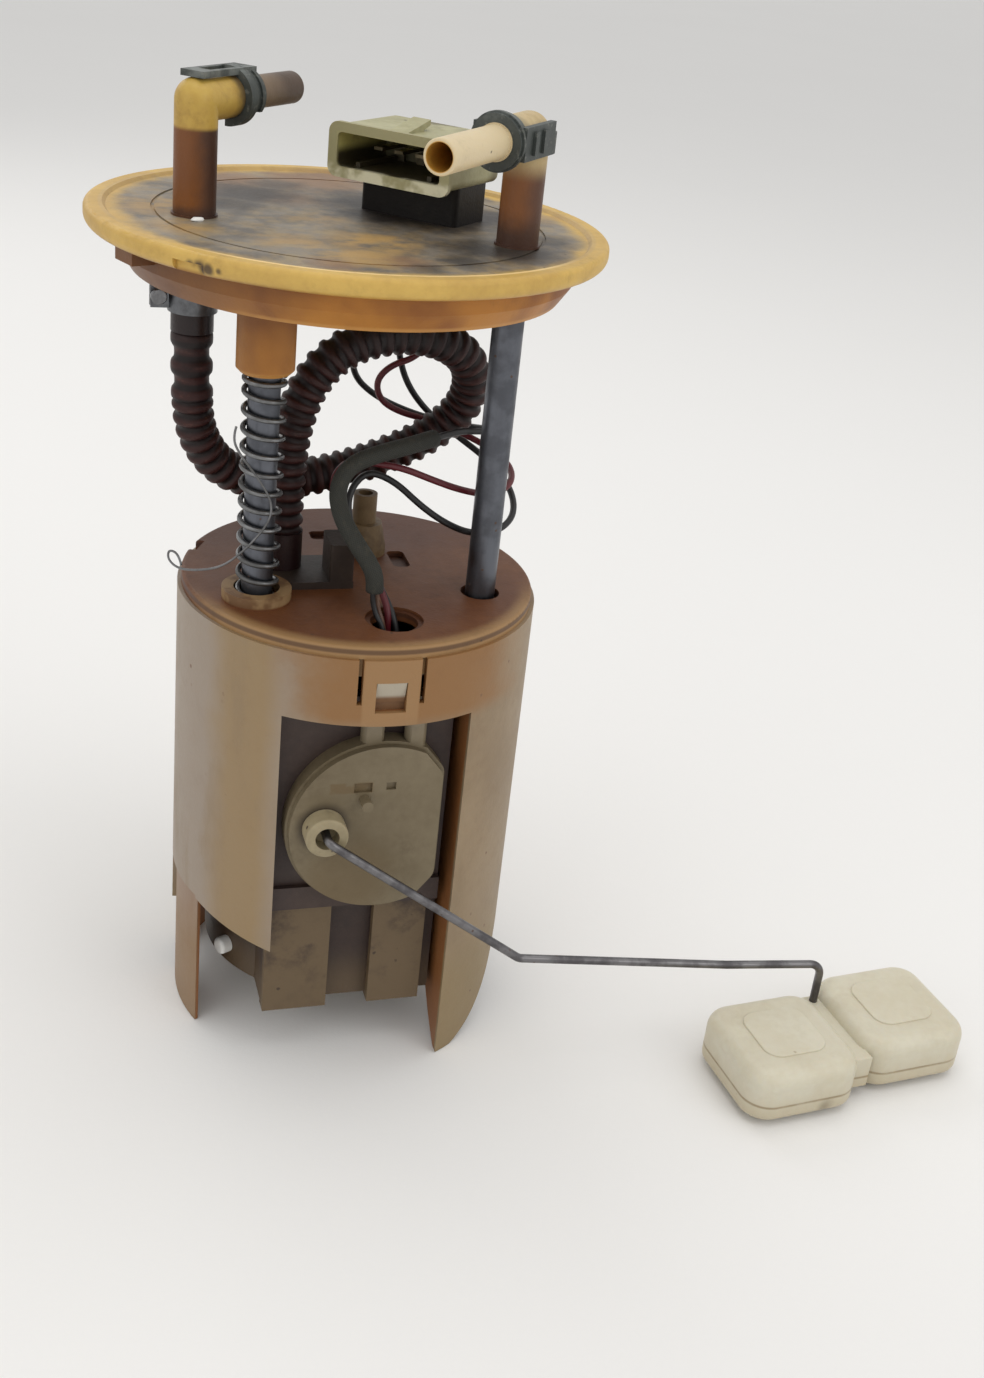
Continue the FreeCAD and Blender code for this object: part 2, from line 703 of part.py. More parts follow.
def pin_space(gap):
    """The four angled terminals about the connector's centre, grown by a gap."""
    leg_x = -SOCKET_BACK / 2 + 1.0
    z = BASE_TOP_Z + SOCKET_H / 2
    shapes = []
    for i in range(PIN_COUNT):
        y = (i - (PIN_COUNT - 1) / 2) * PIN_PITCH
        blade = block(
            leg_x - gap, PIN_TIP + gap, y - PIN_W / 2 - gap, y + PIN_W / 2 + gap,
            z - PIN_T / 2 - gap, z + PIN_T / 2 + gap)
        leg = block(
            leg_x - gap, leg_x + PIN_T + gap, y - PIN_W / 2 - gap, y + PIN_W / 2 + gap,
            STEM_LOW_Z - UNDER_PLUG_H * 0.6 - gap, z)
        shapes.append(joined([blade, leg]))
    return shapes


def in_socket_place(shape):
    """Turns and moves a shape modelled about the connector's centre, mouth along +X."""
    return turned_about_z(shape, PLUG_TURN, (PLUG_X, PLUG_Y))


def connector_pins():
    """Four terminals as one group of separate solids."""
    return in_socket_place(Part.makeCompound(pin_space(0)))


def connector_base():
    """Pedestal on the cover with a stem through it."""
    body = block(-BASE_D / 2, BASE_D / 2, -BASE_W / 2, BASE_W / 2, FIELD_Z, BASE_TOP_Z)
    body = body.makeFillet(1.5, edges_where(body, lambda c, e: e.BoundBox.ZLength > 5))
    stem = block(-STEM_D / 2, STEM_D / 2, -STEM_W / 2, STEM_W / 2, STEM_LOW_Z, FIELD_Z + 1)
    body = joined([body, stem])
    for pin in pin_space(FIT):
        body = body.cut(pin)
    return in_socket_place(body)


def connector_socket():
    """Rectangular socket that lies on the pedestal, with a lip, a latch ramp and inner keys."""
    z0 = BASE_TOP_Z
    z1 = BASE_TOP_Z + SOCKET_H
    half = SOCKET_W / 2
    body = block(-SOCKET_BACK, SOCKET_FRONT, -half, half, z0, z1)
    body = body.makeFillet(SOCKET_ROUND, edges_where(body, lambda c, e: e.BoundBox.XLength > SOCKET_FRONT))
    lip = block(SOCKET_FRONT - LIP_T, SOCKET_FRONT, -half - 0.8, half + 0.8, z0 - 0.8, z1 + 0.6)
    lip = lip.makeFillet(SOCKET_ROUND + 0.4, edges_where(lip, lambda c, e: e.BoundBox.XLength > LIP_T - 0.1))
    ramp = Part.Face(Part.makePolygon([
        V(SOCKET_BACK, 0, z1 - 0.5), V(SOCKET_FRONT - 3, 0, z1 - 0.5), V(SOCKET_FRONT - 3, 0, z1 + 0.2),
        V(LATCH_W, 0, z1 + LATCH_H), V(LATCH_W, 0, z1 + LATCH_H - LATCH_T), V(SOCKET_BACK, 0, z1 + 0.3),
        V(SOCKET_BACK, 0, z1 - 0.5)]))
    ramp = moved(ramp.extrude(V(0, LATCH_W, 0)), y=LATCH_Y - LATCH_W / 2)
    body = joined([body, lip, ramp])
    inner = block(
        -SOCKET_BACK + SOCKET_BACK_WALL, SOCKET_FRONT + 1, -half + SOCKET_WALL, half - SOCKET_WALL,
        z0 + SOCKET_WALL, z1 - SOCKET_WALL)
    inner = inner.makeFillet(
        SOCKET_ROUND - 1, edges_where(inner, lambda c, e: e.BoundBox.XLength > SOCKET_FRONT))
    body = body.cut(inner)
    key_z = z0 + SOCKET_WALL
    keys = [block(-SOCKET_BACK + 2, SOCKET_FRONT - 3, y - 0.6, y + 0.6, key_z - 0.3, key_z + 1.2)
            for y in (-half * 0.62, half * 0.62)]
    body = joined([body] + keys)
    for pin in pin_space(FIT):
        body = body.cut(pin)
    return in_socket_place(body)


def cover_plug():
    """Plug under the cover that takes the wires from the terminals."""
    top = STEM_LOW_Z - FIT
    body = block(
        -UNDER_PLUG_D / 2, UNDER_PLUG_D / 2, -UNDER_PLUG_W / 2, UNDER_PLUG_W / 2, UNDER_PLUG_Z, top)
    body = body.makeFillet(1.0, edges_where(body, lambda c, e: e.BoundBox.ZLength > 5))
    for pin in pin_space(FIT):
        body = body.cut(pin)
    return in_socket_place(body)


def guide_rod():
    """Solid rod that carries the spring."""
    return cylinder(ROD_R, ROD_LOW_Z, PIPE_SEAT_Z - FIT, LEFT_ROD).cut(clip_groove(LEFT_ROD))


def return_rod():
    """Hollow guide rod that also leads the returned fuel down."""
    tube = ring(ROD_R, TUBE_BORE_R, ROD_LOW_Z, PIPE_SEAT_Z - FIT, RIGHT_ROD)
    return tube.cut(clip_groove(RIGHT_ROD))


def clip_levels():
    """Low and high faces of the clips under the guide bushes."""
    high = SLEEVE_LOW_Z - SLIP
    return high - CLIP_T, high


def clip_groove(at):
    """Groove of a clip, cut into a rod."""
    low, high = clip_levels()
    return ring(ROD_R + 1, ROD_R - 0.6, low - FIT, high + FIT, at)


def rod_clips():
    """Open spring clips that stop the reservoir at the end of the rods."""
    low, high = clip_levels()
    clips = []
    for at in (LEFT_ROD, RIGHT_ROD):
        clip = ring(CLIP_R, ROD_R - 0.6 + FIT, low, high, at)
        gap = block(at[0] - ROD_R * 0.7, at[0] + ROD_R * 0.7, at[1], at[1] + CLIP_R + 1, low - 1, high + 1)
        clips.append(clip.cut(gap))
    return Part.makeCompound(clips)


def spring():
    """Coil spring between the cover's boss and the cap."""
    half = SPRING_WIRE / 2
    high = LEFT_BOSS_Z - SLIP - half
    low = BUSH_TOP_Z + SLIP + half
    height = high - low
    helix = Part.makeHelix(height / SPRING_TURNS, height, SPRING_MEAN_R)
    section = Part.Wire(Part.makeCircle(half, V(SPRING_MEAN_R, 0, 0), V(0, 1, 0)))
    coil = Part.Wire(helix.Edges).makePipeShell([section], True, True)
    return moved(coil, LEFT_ROD[0], LEFT_ROD[1], low)


def guide_bushes():
    """Plain bearing bushes in the cap's two sleeves."""
    bushes = [ring(BUSH_R, ROD_R + RUN, SLEEVE_LOW_Z, BUSH_TOP_Z, at) for at in (LEFT_ROD, RIGHT_ROD)]
    return Part.makeCompound(bushes)


def cap():
    """Cap of the reservoir, with guide sleeves, the spring's collar, openings and the snap lug."""
    centre = (RES_X, RES_Y)
    disc = cylinder(CAP_R, SHELL_TOP_Z, CAP_TOP_Z, centre)
    disc = disc.makeFillet(CAP_ROUND, edges_where(disc, on_level(CAP_TOP_Z)))
    lip_r = SHELL_INNER_R - FIT
    lip = ring(lip_r, lip_r - CAP_LIP_WALL, SHELL_TOP_Z - CAP_LIP_DEPTH, SHELL_TOP_Z + 1, centre)
    solids = [disc, lip, cylinder(COLLAR_R, SHELL_TOP_Z, CAP_TOP_Z + COLLAR_H, LEFT_ROD)]
    solids.extend(cylinder(SLEEVE_R, SLEEVE_LOW_Z, SHELL_TOP_Z + 1, at) for at in (LEFT_ROD, RIGHT_ROD))
    window_top = SHELL_TOP_Z - TAB_WINDOW_TOP
    tongue = ring(lip_r, lip_r - CAP_LIP_WALL, window_top - TAB_WINDOW_H, SHELL_TOP_Z, centre)
    half_az = math.degrees(TAB_HALF_W / SHELL_R)
    solids.append(tongue.common(wedge(TAB_AZ - half_az, TAB_AZ + half_az, FOOT_Z, 0)))
    body = joined(solids + [snap_lug(window_top)])
    for at, r in ((LEFT_ROD, SPRING_MEAN_R + SPRING_WIRE / 2 + SLIP), (RIGHT_ROD, BUSH_R + FIT)):
        body = body.cut(cylinder(r, BUSH_TOP_Z, CAP_TOP_Z + COLLAR_H + 1, at))
        body = body.cut(cylinder(BUSH_R + FIT, SLEEVE_LOW_Z - 1, BUSH_TOP_Z + 1, at))
    at = (RES_X + WIRE_HOLE[0], RES_Y + WIRE_HOLE[1])
    body = body.cut(cylinder(WIRE_HOLE_R, SHELL_TOP_Z - 1, CAP_TOP_Z + 1, at))
    body = body.cut(cylinder(WIRE_HOLE_RIM_R, CAP_TOP_Z - WIRE_HOLE_SINK, CAP_TOP_Z + 1, at))
    for x, y, width, depth in CAP_POCKETS:
        pocket = block(x - width / 2, x + width / 2, y - depth / 2, y + depth / 2,
                       CAP_TOP_Z - CAP_POCKET_DEPTH, CAP_TOP_Z + 1)
        pocket = pocket.makeFillet(
            CAP_POCKET_ROUND, edges_where(pocket, lambda c, e: e.BoundBox.ZLength > CAP_POCKET_DEPTH))
        body = body.cut(moved(pocket, RES_X, RES_Y))
    body = body.cut(outlet_hole())
    notch = block(-CAP_NOTCH_W / 2, CAP_NOTCH_W / 2, -CAP_R - 1, -CAP_R + CAP_NOTCH_DEPTH,
                  SHELL_TOP_Z - 1, CAP_TOP_Z + 1)
    return body.cut(turned_about_z(notch, CAP_NOTCH_AZ, centre))


def snap_lug(window_top):
    """Wedge that stands in the window of the shell's tab."""
    half = TAB_WINDOW_W / 2 - 4 * FIT
    inner = SHELL_INNER_R - CAP_LIP_WALL
    top = window_top - 2 * FIT
    low = window_top - TAB_WINDOW_H + 2.2
    face = Part.Face(Part.makePolygon([
        V(0, -inner, top), V(0, -SHELL_R + 0.3, top), V(0, -SHELL_INNER_R - 0.3, low), V(0, -inner, low),
        V(0, -inner, top)]))
    lug = moved(face.extrude(V(2 * half, 0, 0)), x=-half)
    return turned_about_z(lug, TAB_AZ, (RES_X, RES_Y))


def outlet_hole():
    """Hole in the cap for the outlet block's spigot."""
    at = (RES_X + OUTLET_X, RES_Y + OUTLET_Y)
    return cylinder(OUTLET_R + FIT, SHELL_TOP_Z - 1, CAP_TOP_Z + 1, at)


def right_fin_cut():
    """What is taken away behind the curved right fin, across the wall."""
    rear_y = polar(SHELL_R, REAR_FEET_AZ[0][0], (0, 0))[1]
    tip = V(0, RIGHT_FIN_TIP_Y, FOOT_Z)
    middle = V(0, RIGHT_FIN_MID[0], RIGHT_FIN_MID[1])
    high = V(0, RIGHT_FIN_BACK_Y, WALL_LOW_Z)
    edges = [
        Part.Arc(tip, middle, high).toShape(),
        Part.makeLine(high, V(0, rear_y, WALL_LOW_Z)),
        Part.makeLine(V(0, rear_y, WALL_LOW_Z), V(0, rear_y, FOOT_Z - 1)),
        Part.makeLine(V(0, rear_y, FOOT_Z - 1), V(0, RIGHT_FIN_TIP_Y, FOOT_Z - 1)),
        Part.makeLine(V(0, RIGHT_FIN_TIP_Y, FOOT_Z - 1), tip),
    ]
    prism = Part.Face(Part.Wire(edges)).extrude(V(SHELL_R + 5, 0, 0))
    return moved(prism, RES_X, RES_Y)


def left_notch_cut():
    """What is taken away under the left part of the skin, with its rising edge."""
    az0 = LEFT_FIN_AZ[1]
    az1 = math.degrees(math.asin(WINDOW_LEFT / SHELL_R)) - 0.5
    cut = wedge(az0, az1 + 2, FOOT_Z - 1, SKIN_LOW_Z + SKIN_RISE)
    mean = (az0 + az1) / 2
    half = SHELL_R * math.sin(math.radians((az1 - az0) / 2)) + 4
    slope = Part.Face(Part.makePolygon([
        V(-half, 0, SKIN_LOW_Z + SKIN_RISE), V(half, 0, SKIN_LOW_Z - 0.8), V(half, 0, FOOT_Z - 2),
        V(-half, 0, FOOT_Z - 2), V(-half, 0, SKIN_LOW_Z + SKIN_RISE)]))
    prism = slope.extrude(V(0, -SHELL_R - 5, 0))
    return cut.common(turned_about_z(prism, mean, (RES_X, RES_Y)))


def shell():
    """Outer shell: band with a snap tab, front window, fins and feet."""
    centre = (RES_X, RES_Y)
    wall = ring(SHELL_R, SHELL_INNER_R, FOOT_Z, SHELL_TOP_Z, centre)
    side = block(
        WINDOW_RIGHT, WINDOW_RIGHT + RETURN_WALL_T, -SHELL_R, RETURN_WALL_INNER_Y, FOOT_Z, BAND_LOW_Z)
    side = moved(side, RES_X, RES_Y).common(cylinder(SHELL_R - 0.1, FOOT_Z, BAND_LOW_Z, centre))
    wall = joined([wall, side])
    window = block(WINDOW_LEFT, WINDOW_RIGHT, -SHELL_R - 5, -SHELL_R / 2, FOOT_Z - 1, BAND_LOW_Z)
    wall = wall.cut(moved(window, RES_X, RES_Y))
    wall = wall.cut(right_fin_cut()).cut(left_notch_cut())
    skin = ring(SHELL_R + 1, SHELL_R - FIN_RECESS, FOOT_Z - 1, SKIN_LOW_Z + SKIN_RISE, centre)
    wall = wall.cut(skin.common(wedge(LEFT_FIN_AZ[0], LEFT_FIN_AZ[1] + 1, FOOT_Z - 2, 0)))
    gaps = ((REAR_FEET_AZ[0][1], REAR_FEET_AZ[1][0]), (REAR_FEET_AZ[1][1], 360 + LEFT_FIN_AZ[0]))
    for az0, az1 in gaps:
        wall = wall.cut(wedge(az0, az1, FOOT_Z - 1, WALL_LOW_Z))
    for cut in tab_cuts():
        wall = wall.cut(cut)
    return wall


def tab_cuts():
    """Two slots that free the snap tab, and the window in it."""
    slot_z = SHELL_TOP_Z - SLOT_DEPTH
    cuts = [block(side * (TAB_HALF_W + SLOT_W / 2) - SLOT_W / 2, side * (TAB_HALF_W + SLOT_W / 2) + SLOT_W / 2,
                  -SHELL_R - 2, -SHELL_R / 2, slot_z, SHELL_TOP_Z + 1) for side in (-1, 1)]
    top = SHELL_TOP_Z - TAB_WINDOW_TOP
    cuts.append(block(-TAB_WINDOW_W / 2, TAB_WINDOW_W / 2, -SHELL_R - 2, -SHELL_R / 2,
                      top - TAB_WINDOW_H, top))
    return [turned_about_z(cut, TAB_AZ, (RES_X, RES_Y)) for cut in cuts]


def pot_prism(grow, z0, z1):
    """Prism of the pot's outline between two levels."""
    reach = POT_R + grow
    round_part = cylinder(reach, z0, z1, (0, POT_Y))
    front = block(POT_LEFT - grow, POT_RIGHT + grow, POT_FRONT_Y - grow, POT_Y, z0, z1)
    kept = block(-reach, reach, POT_FRONT_Y - grow, POT_Y + reach, z0, z1)
    return moved(joined([round_part, front]).common(kept), RES_X, RES_Y)


def swirl_pot():
    """Inner pot with a flat front, pilasters, a pump seat, ribs to the shell and a front plate."""
    body = pot_prism(0, POT_LOW_Z, POT_TOP_Z).cut(pot_prism(-POT_WALL, POT_LOW_Z + POT_WALL, POT_TOP_Z + 1))
    plate = block(POT_LEFT, POT_RIGHT, POT_FRONT_Y, POT_FRONT_Y + POT_WALL, POT_TOP_Z - 2, FRONT_PLATE_TOP_Z)
    solids = [body, moved(plate, RES_X, RES_Y)]
    for x0, x1 in PILASTERS:
        pilaster = block(x0, x1, POT_FRONT_Y - PILASTER_T, POT_FRONT_Y + 1, POT_LOW_Z - 1, PILASTER_TOP_Z)
        solids.append(moved(pilaster, RES_X, RES_Y))
    for az in POT_RIB_AZ:
        rib = block(-POT_RIB_T / 2, POT_RIB_T / 2, -SHELL_INNER_R + 2 * FIT, -POT_R + 8, *POT_RIB_Z)
        solids.append(turned_about_z(rib, az, (RES_X, RES_Y)))
    seat_r = PUMP_R + CUSHION_T + FIT
    floor = POT_LOW_Z + POT_WALL
    solids.append(cylinder(seat_r + PUMP_SEAT_WALL, floor - 1, floor + PUMP_SEAT_H, PUMP_AXIS))
    whole = joined(solids)
    whole = whole.cut(cylinder(seat_r, floor, floor + PUMP_SEAT_H + 1, PUMP_AXIS))
    inside = pot_prism(-POT_WALL, POT_LOW_Z + POT_WALL, POT_TOP_Z + 1)
    keep = cylinder(seat_r + PUMP_SEAT_WALL, floor - 1, floor + PUMP_SEAT_H, PUMP_AXIS)
    whole = whole.cut(inside.cut(keep))
    whole = whole.cut(cylinder(STRAINER_NECK_R + FIT, POT_LOW_Z - 2, floor + 1, PUMP_AXIS))
    whole = whole.cut(cylinder(1.2, POT_LOW_Z - 2, floor + 1, valve_place()))
    return whole.cut(nub_stem(NUB_STEM_R + FIT, POT_R - POT_WALL - 1, POT_R + 1))


def valve_place():
    """Plan position of the inlet valve."""
    return polar(POT_R - VALVE_IN, VALVE_AZ, POT_AXIS)


def nub_stem(r, inner, outer):
    """Radial round bar through the pot's wall at the nub."""
    out = V(*polar(1, NUB_AZ, (0, 0)), 0)
    start = V(POT_AXIS[0], POT_AXIS[1], NUB_Z) + out * inner
    return Part.makeCylinder(r, outer - inner, start, out)


def pot_nub():
    """White plug in the side of the pot, with a rounded head."""
    head = nub_stem(NUB_R, POT_R + FIT, POT_R + NUB_L)
    far = max(edges_where(head, lambda c, e: True), key=lambda e: (e.CenterOfMass - V(*POT_AXIS, NUB_Z)).Length)
    head = head.makeFillet(NUB_R * 0.4, [far])
    return joined([head, nub_stem(NUB_STEM_R, POT_R - POT_WALL, POT_R + 1)])


def inlet_valve():
    """Rubber umbrella valve in the pot's floor."""
    at = valve_place()
    floor = POT_LOW_Z + POT_WALL
    return turned((
        (0, POT_LOW_Z - 2.4), (1.1, POT_LOW_Z - 2.0), (1.7, POT_LOW_Z - FIT), (1.1, POT_LOW_Z - FIT),
        (1.1, floor + FIT), (5.4, floor + FIT), (5.6, floor + 0.7), (1.6, floor + 2.0), (0, floor + 2.2)), at)


def dial_outline(r, right):
    """D-shaped outline in the XZ plane: a round side and a straight side with two chamfers."""
    half = math.sqrt(r * r - (right - DIAL_X) ** 2)
    top = V(right, 0, DIAL_Z + half - DIAL_CHAMFER / 3)
    low = V(right, 0, DIAL_Z - half + DIAL_CHAMFER / 3)
    angle = math.atan2(half, right - DIAL_X) + math.radians(14)
    top_tangent = V(DIAL_X + r * math.cos(angle), 0, DIAL_Z + r * math.sin(angle))
    low_tangent = V(DIAL_X + r * math.cos(angle), 0, DIAL_Z - r * math.sin(angle))
    left = V(DIAL_X - r, 0, DIAL_Z)
    edges = [
        Part.Arc(top_tangent, left, low_tangent).toShape(),
        Part.makeLine(low_tangent, low),
        Part.makeLine(low, top),
        Part.makeLine(top, top_tangent),
    ]
    return Part.Face(Part.Wire(edges))


def dial_levels():
    """Y of the sender's layers, from the pot's front outwards."""
    plate_back = POT_FRONT_Y - FIT
    plate_front = plate_back - PLATE_THICK
    case_front = plate_front - FIT - CASE_DEPTH
    dial_front = case_front - DIAL_T
    return plate_back, plate_front, case_front, dial_front


def sender_plate():
    """Flat plate on the pot's front, with a ledge under the dial."""
    back, front, _, _ = dial_levels()
    z_low = PILASTER_TOP_Z + FIT
    plate = block(PLATE_LEFT, PLATE_RIGHT, front, back, z_low, PLATE_HIGH_Z)
    ledge = block(PLATE_LEFT, PLATE_RIGHT, front - LEDGE_T, front + 1, z_low, z_low + LEDGE_H)
    ledge = ledge.cut(dial_slab(DIAL_R + DIAL_STEP + SLIP, DIAL_STEP + SLIP, 3 * POT_FRONT_Y, 0))
    return moved(joined([plate, ledge]), RES_X, RES_Y)


def dial_slab(r, grow_right, y0, y1):
    """Prism of the dial's outline between two depths."""
    slab = dial_outline(r, DIAL_RIGHT + grow_right).extrude(V(0, y1 - y0, 0))
    right = DIAL_RIGHT + grow_right - FIT
    slab = slab.makeFillet(DIAL_CORNER, edges_where(slab, lambda c, e: e.BoundBox.ZLength < FIT and c.x > right
                                                    and e.BoundBox.XLength < FIT))
    return moved(slab, y=y0)


def sender_case():
    """Tray of the sender, open to the front, with two fingers that hook behind the band."""
    _, front, case_front, _ = dial_levels()
    back = front - FIT
    body = dial_slab(DIAL_R + DIAL_STEP, DIAL_STEP, case_front, back)
    hollow = dial_slab(DIAL_R - CASE_WALL, -CASE_WALL, case_front - 1, back - CASE_WALL)
    body = body.cut(hollow)
    solids = [body]
    for x, r in FINGERS:
        y = (case_front + back) / 2
        finger = Part.makeCylinder(r, FINGER_TOP_Z - (DIAL_Z + DIAL_R - 4), V(x, y, DIAL_Z + DIAL_R - 4))
        finger = finger.common(block(x - r, x + r, case_front, back, DIAL_Z, FINGER_TOP_Z))
        solids.append(finger.cut(dial_slab(DIAL_R - CASE_WALL, -CASE_WALL, case_front - 1, back + 1)))
    return moved(joined(solids), RES_X, RES_Y)


def sender_cover():
    """Front plate of the dial, with the hub's hole, a stop post and two small recesses."""
    _, _, case_front, dial_front = dial_levels()
    back = case_front - FIT
    body = dial_slab(DIAL_R, 0, dial_front, back)
    post = Part.makeCylinder(POST_R, POST_H + 0.5, V(POST_X, dial_front + 0.5, POST_Z), V(0, -1, 0))
    body = joined([body, post])
    hole = Part.makeCylinder(HUB_SHAFT_R + RUN, 10, V(HUB_X, dial_front - 5, HUB_Z), V(0, 1, 0))
    body = body.cut(hole)
    for x0, x1, z0, z1 in DIAL_MARKS:
        body = body.cut(block(x0, x1, dial_front - 1, dial_front + 0.9, z0, z1))
    return moved(body, RES_X, RES_Y)


def resistor_card():
    """Ceramic card with the sender's tracks, in the tray."""
    _, front, _, _ = dial_levels()
    back = front - FIT - CASE_WALL
    left, right, low, high = CARD
    card = block(DIAL_X + left, DIAL_X + right, back - CARD_T, back - FIT, DIAL_Z + low, DIAL_Z + high)
    return moved(card, RES_X, RES_Y)


def arm_hub():
    """Hub that turns in the dial and holds the float arm's end."""
    _, _, case_front, dial_front = dial_levels()
    y_in = case_front + 1.4
    shaft = Part.makeCylinder(HUB_SHAFT_R, y_in - dial_front + 1, V(HUB_X, y_in, HUB_Z), V(0, -1, 0))
    boss_y = dial_front - SLIP
    boss = Part.makeCylinder(HUB_R, HUB_H, V(HUB_X, boss_y, HUB_Z), V(0, -1, 0))
    rim = edges_where(boss, lambda c, e: e.BoundBox.YLength < 1e-4 and c.y < boss_y - HUB_H + 0.1)
    boss = boss.makeFillet(0.7, rim)
    body = joined([shaft, boss])
    hollow = Part.makeCylinder(HUB_BORE_R, HUB_H - 1.4, V(HUB_X, boss_y - HUB_H - 0.1, HUB_Z), V(0, 1, 0))
    body = body.cut(hollow)
    wire = Part.makeCylinder(ARM_R + FIT, HUB_H + 6, V(HUB_X, boss_y - HUB_H, HUB_Z), V(0, 1, 0))
    return moved(body.cut(wire), RES_X, RES_Y)


def wiper():
    """Contact arm behind the dial that turns with the hub."""
    _, _, case_front, _ = dial_levels()
    y1 = case_front + 1.4 + WIPER_T
    y0 = case_front + 1.4
    disc = Part.makeCylinder(HUB_SHAFT_R, WIPER_T, V(HUB_X, y0, HUB_Z), V(0, 1, 0))
    blade = block(HUB_X, HUB_X + 16, y0, y1, HUB_Z - 1.6, HUB_Z + 1.6)
    body = joined([disc, blade])
    body.rotate(V(HUB_X, 0, HUB_Z), V(0, 1, 0), 20)
    return moved(body, RES_X, RES_Y)


def arm_route():
    """Points of the float arm's wire from the hub to the float."""
    _, _, case_front, dial_front = dial_levels()
    plane_y = dial_front - SLIP - HUB_H - ARM_OUT
    start_y = case_front + 1.4 - FIT
    entry = float_point(0, WEB_L / 2 - 2)
    return (
        V(HUB_X, start_y, HUB_Z),
        V(HUB_X, plane_y, HUB_Z),
        V(ARM_BEND[0], plane_y, ARM_BEND[1]),
        V(ARM_MID[0], (plane_y + entry.y) / 2, ARM_MID[1]),
        entry + V(0, 0, ARM_DROP),
        entry,
    )


def float_point(x, y, z=0.0):
    """Point of the float's own frame, relative to the reservoir's axis."""
    a = math.radians(FLOAT_TURN)
    across = x * math.cos(a) - y * math.sin(a)
    along = x * math.sin(a) + y * math.cos(a)
    return V(FLOAT_X + across, FLOAT_Y + along, FLOAT_Z + z)


def float_arm():
    """Bent wire of the float arm."""
    points = arm_route()
    edges = []
    start = points[0]
    for before, corner, after in zip(points, points[1:], points[2:]):
        into = (corner - before).normalize()
        out = (after - corner).normalize()
        half_turn = into.getAngle(out) / 2
        radius = ARM_BEND_R if half_turn > 0.2 else 3 * ARM_BEND_R
        radius = min(radius, ARM_OUT) if before == points[0] else radius
        reach = radius * math.tan(half_turn)
        inward = (out - into).normalize()
        centre = corner + inward * (radius / math.cos(half_turn))
        first = corner - into * reach
        last = corner + out * reach
        edges.append(Part.LineSegment(start, first).toShape())
        edges.append(Part.Arc(first, centre - inward * radius, last).toShape())
        start = last
    edges.append(Part.LineSegment(start, points[-1]).toShape())
    path = Part.Wire(edges)
    section = Part.Wire(Part.makeCircle(ARM_R, points[0], points[1] - points[0]))
    return moved(path.makePipeShell([section], True, False), RES_X, RES_Y)


def lobe(side, shrink, panel):
    """One rounded lobe about the float's own origin."""
    pitch = (LOBE_W + LOBE_GAP) / 2
    half_w = LOBE_W / 2 - shrink
    half_l = LOBE_L / 2 - shrink
    half_h = LOBE_H / 2 - shrink
    body = block(-half_w, half_w, -half_l, half_l, -half_h, half_h)
    corner = LOBE_ROUND - shrink
    body = body.makeFillet(corner, edges_where(body, lambda c, e: e.BoundBox.ZLength > half_h))
    body = body.makeFillet(corner * 0.62, edges_where(body, on_level(half_h)))
    body = body.makeFillet(corner * 0.3, edges_where(body, on_level(-half_h)))
    if panel:
        raised = block(-PANEL / 2, PANEL / 2, -PANEL / 2, PANEL / 2, half_h - 1, half_h + PANEL_H)
        raised = raised.makeFillet(PANEL / 4, edges_where(raised, lambda c, e: e.BoundBox.ZLength > 1))
        raised = raised.makeFillet(PANEL_H - 0.1, edges_where(raised, on_level(half_h + PANEL_H)))
        body = joined([body, raised])
    return moved(body, side * pitch, side * LOBE_STAGGER / 2, 0)


def float_half(upper):
    """Upper or lower shell of the float, welded to the other along the seam."""
    split = LOBE_H / 2 - LOBE_H * 0.6 - SEAM_DROP / 2
    shells = [lobe(side, 0, True).cut(lobe(side, FLOAT_WALL, False)) for side in (-1, 1)]
    web_half = LOBE_GAP / 2 + FLOAT_WALL
    web = block(-web_half, web_half, -WEB_L / 2, WEB_L / 2, -LOBE_H / 2 + 2, LOBE_H / 2 - 4)
    for side in (-1, 1):
        web = web.cut(lobe(side, FLOAT_WALL, False))
    whole = joined(shells + [web])
    far = 3 * LOBE_W
    z0, z1 = (split + FIT / 2, far) if upper else (-far, split - FIT / 2)
    whole = whole.common(block(-far, far, -far, far, z0, z1))
    whole.rotate(V(0, 0, 0), UP, FLOAT_TURN)
    whole = moved(whole, FLOAT_X, FLOAT_Y, FLOAT_Z)
    end = arm_route()
    wire = Part.makeCylinder(ARM_R + FIT, 40, end[-1] + (end[-1] - end[-2]).normalize() * 1.0,
                             (end[-2] - end[-1]).normalize())
    return moved(whole.cut(wire), RES_X, RES_Y)


def pump_case():
    """Rolled steel tube of the pump, with its two turned-in edges."""
    z0, z1 = PUMP_CASE_Z
    return ring(PUMP_R, PUMP_R - CASE_T, z0, z1, PUMP_AXIS)


def pump_inlet():
    """Inlet cover with the impeller's chamber and the suction neck."""
    z0 = PUMP_CASE_Z[0]
    low = z0 - INLET_H
    inner = PUMP_R - CASE_T - FIT
    body = joined([
        cylinder(PUMP_R, low + 2, z0 - FIT, PUMP_AXIS),
        cylinder(inner, low + 2, z0 + 8, PUMP_AXIS),
        cylinder(PUMP_R - 3, low, low + 3, PUMP_AXIS),
        cylinder(STRAINER_NECK_R - 1.2, POT_LOW_Z - 1, low + 1, PUMP_AXIS),
    ])
    chamber = cylinder(IMPELLER_R + SLIP, z0 - 1 - SLIP, z0 - 1 + IMPELLER_T + SLIP, PUMP_AXIS)
    body = body.cut(chamber)
    body = body.cut(cylinder(STRAINER_NECK_R - 2.6, POT_LOW_Z - 2, z0 - 2, PUMP_AXIS))
    side = (PUMP_AXIS[0] + IMPELLER_R - 3, PUMP_AXIS[1])
    body = body.cut(cylinder(1.8, z0, z0 + 9, side))
    return body.cut(cylinder(BEARING_R + FIT, z0 - 1, z0 + 9, PUMP_AXIS))


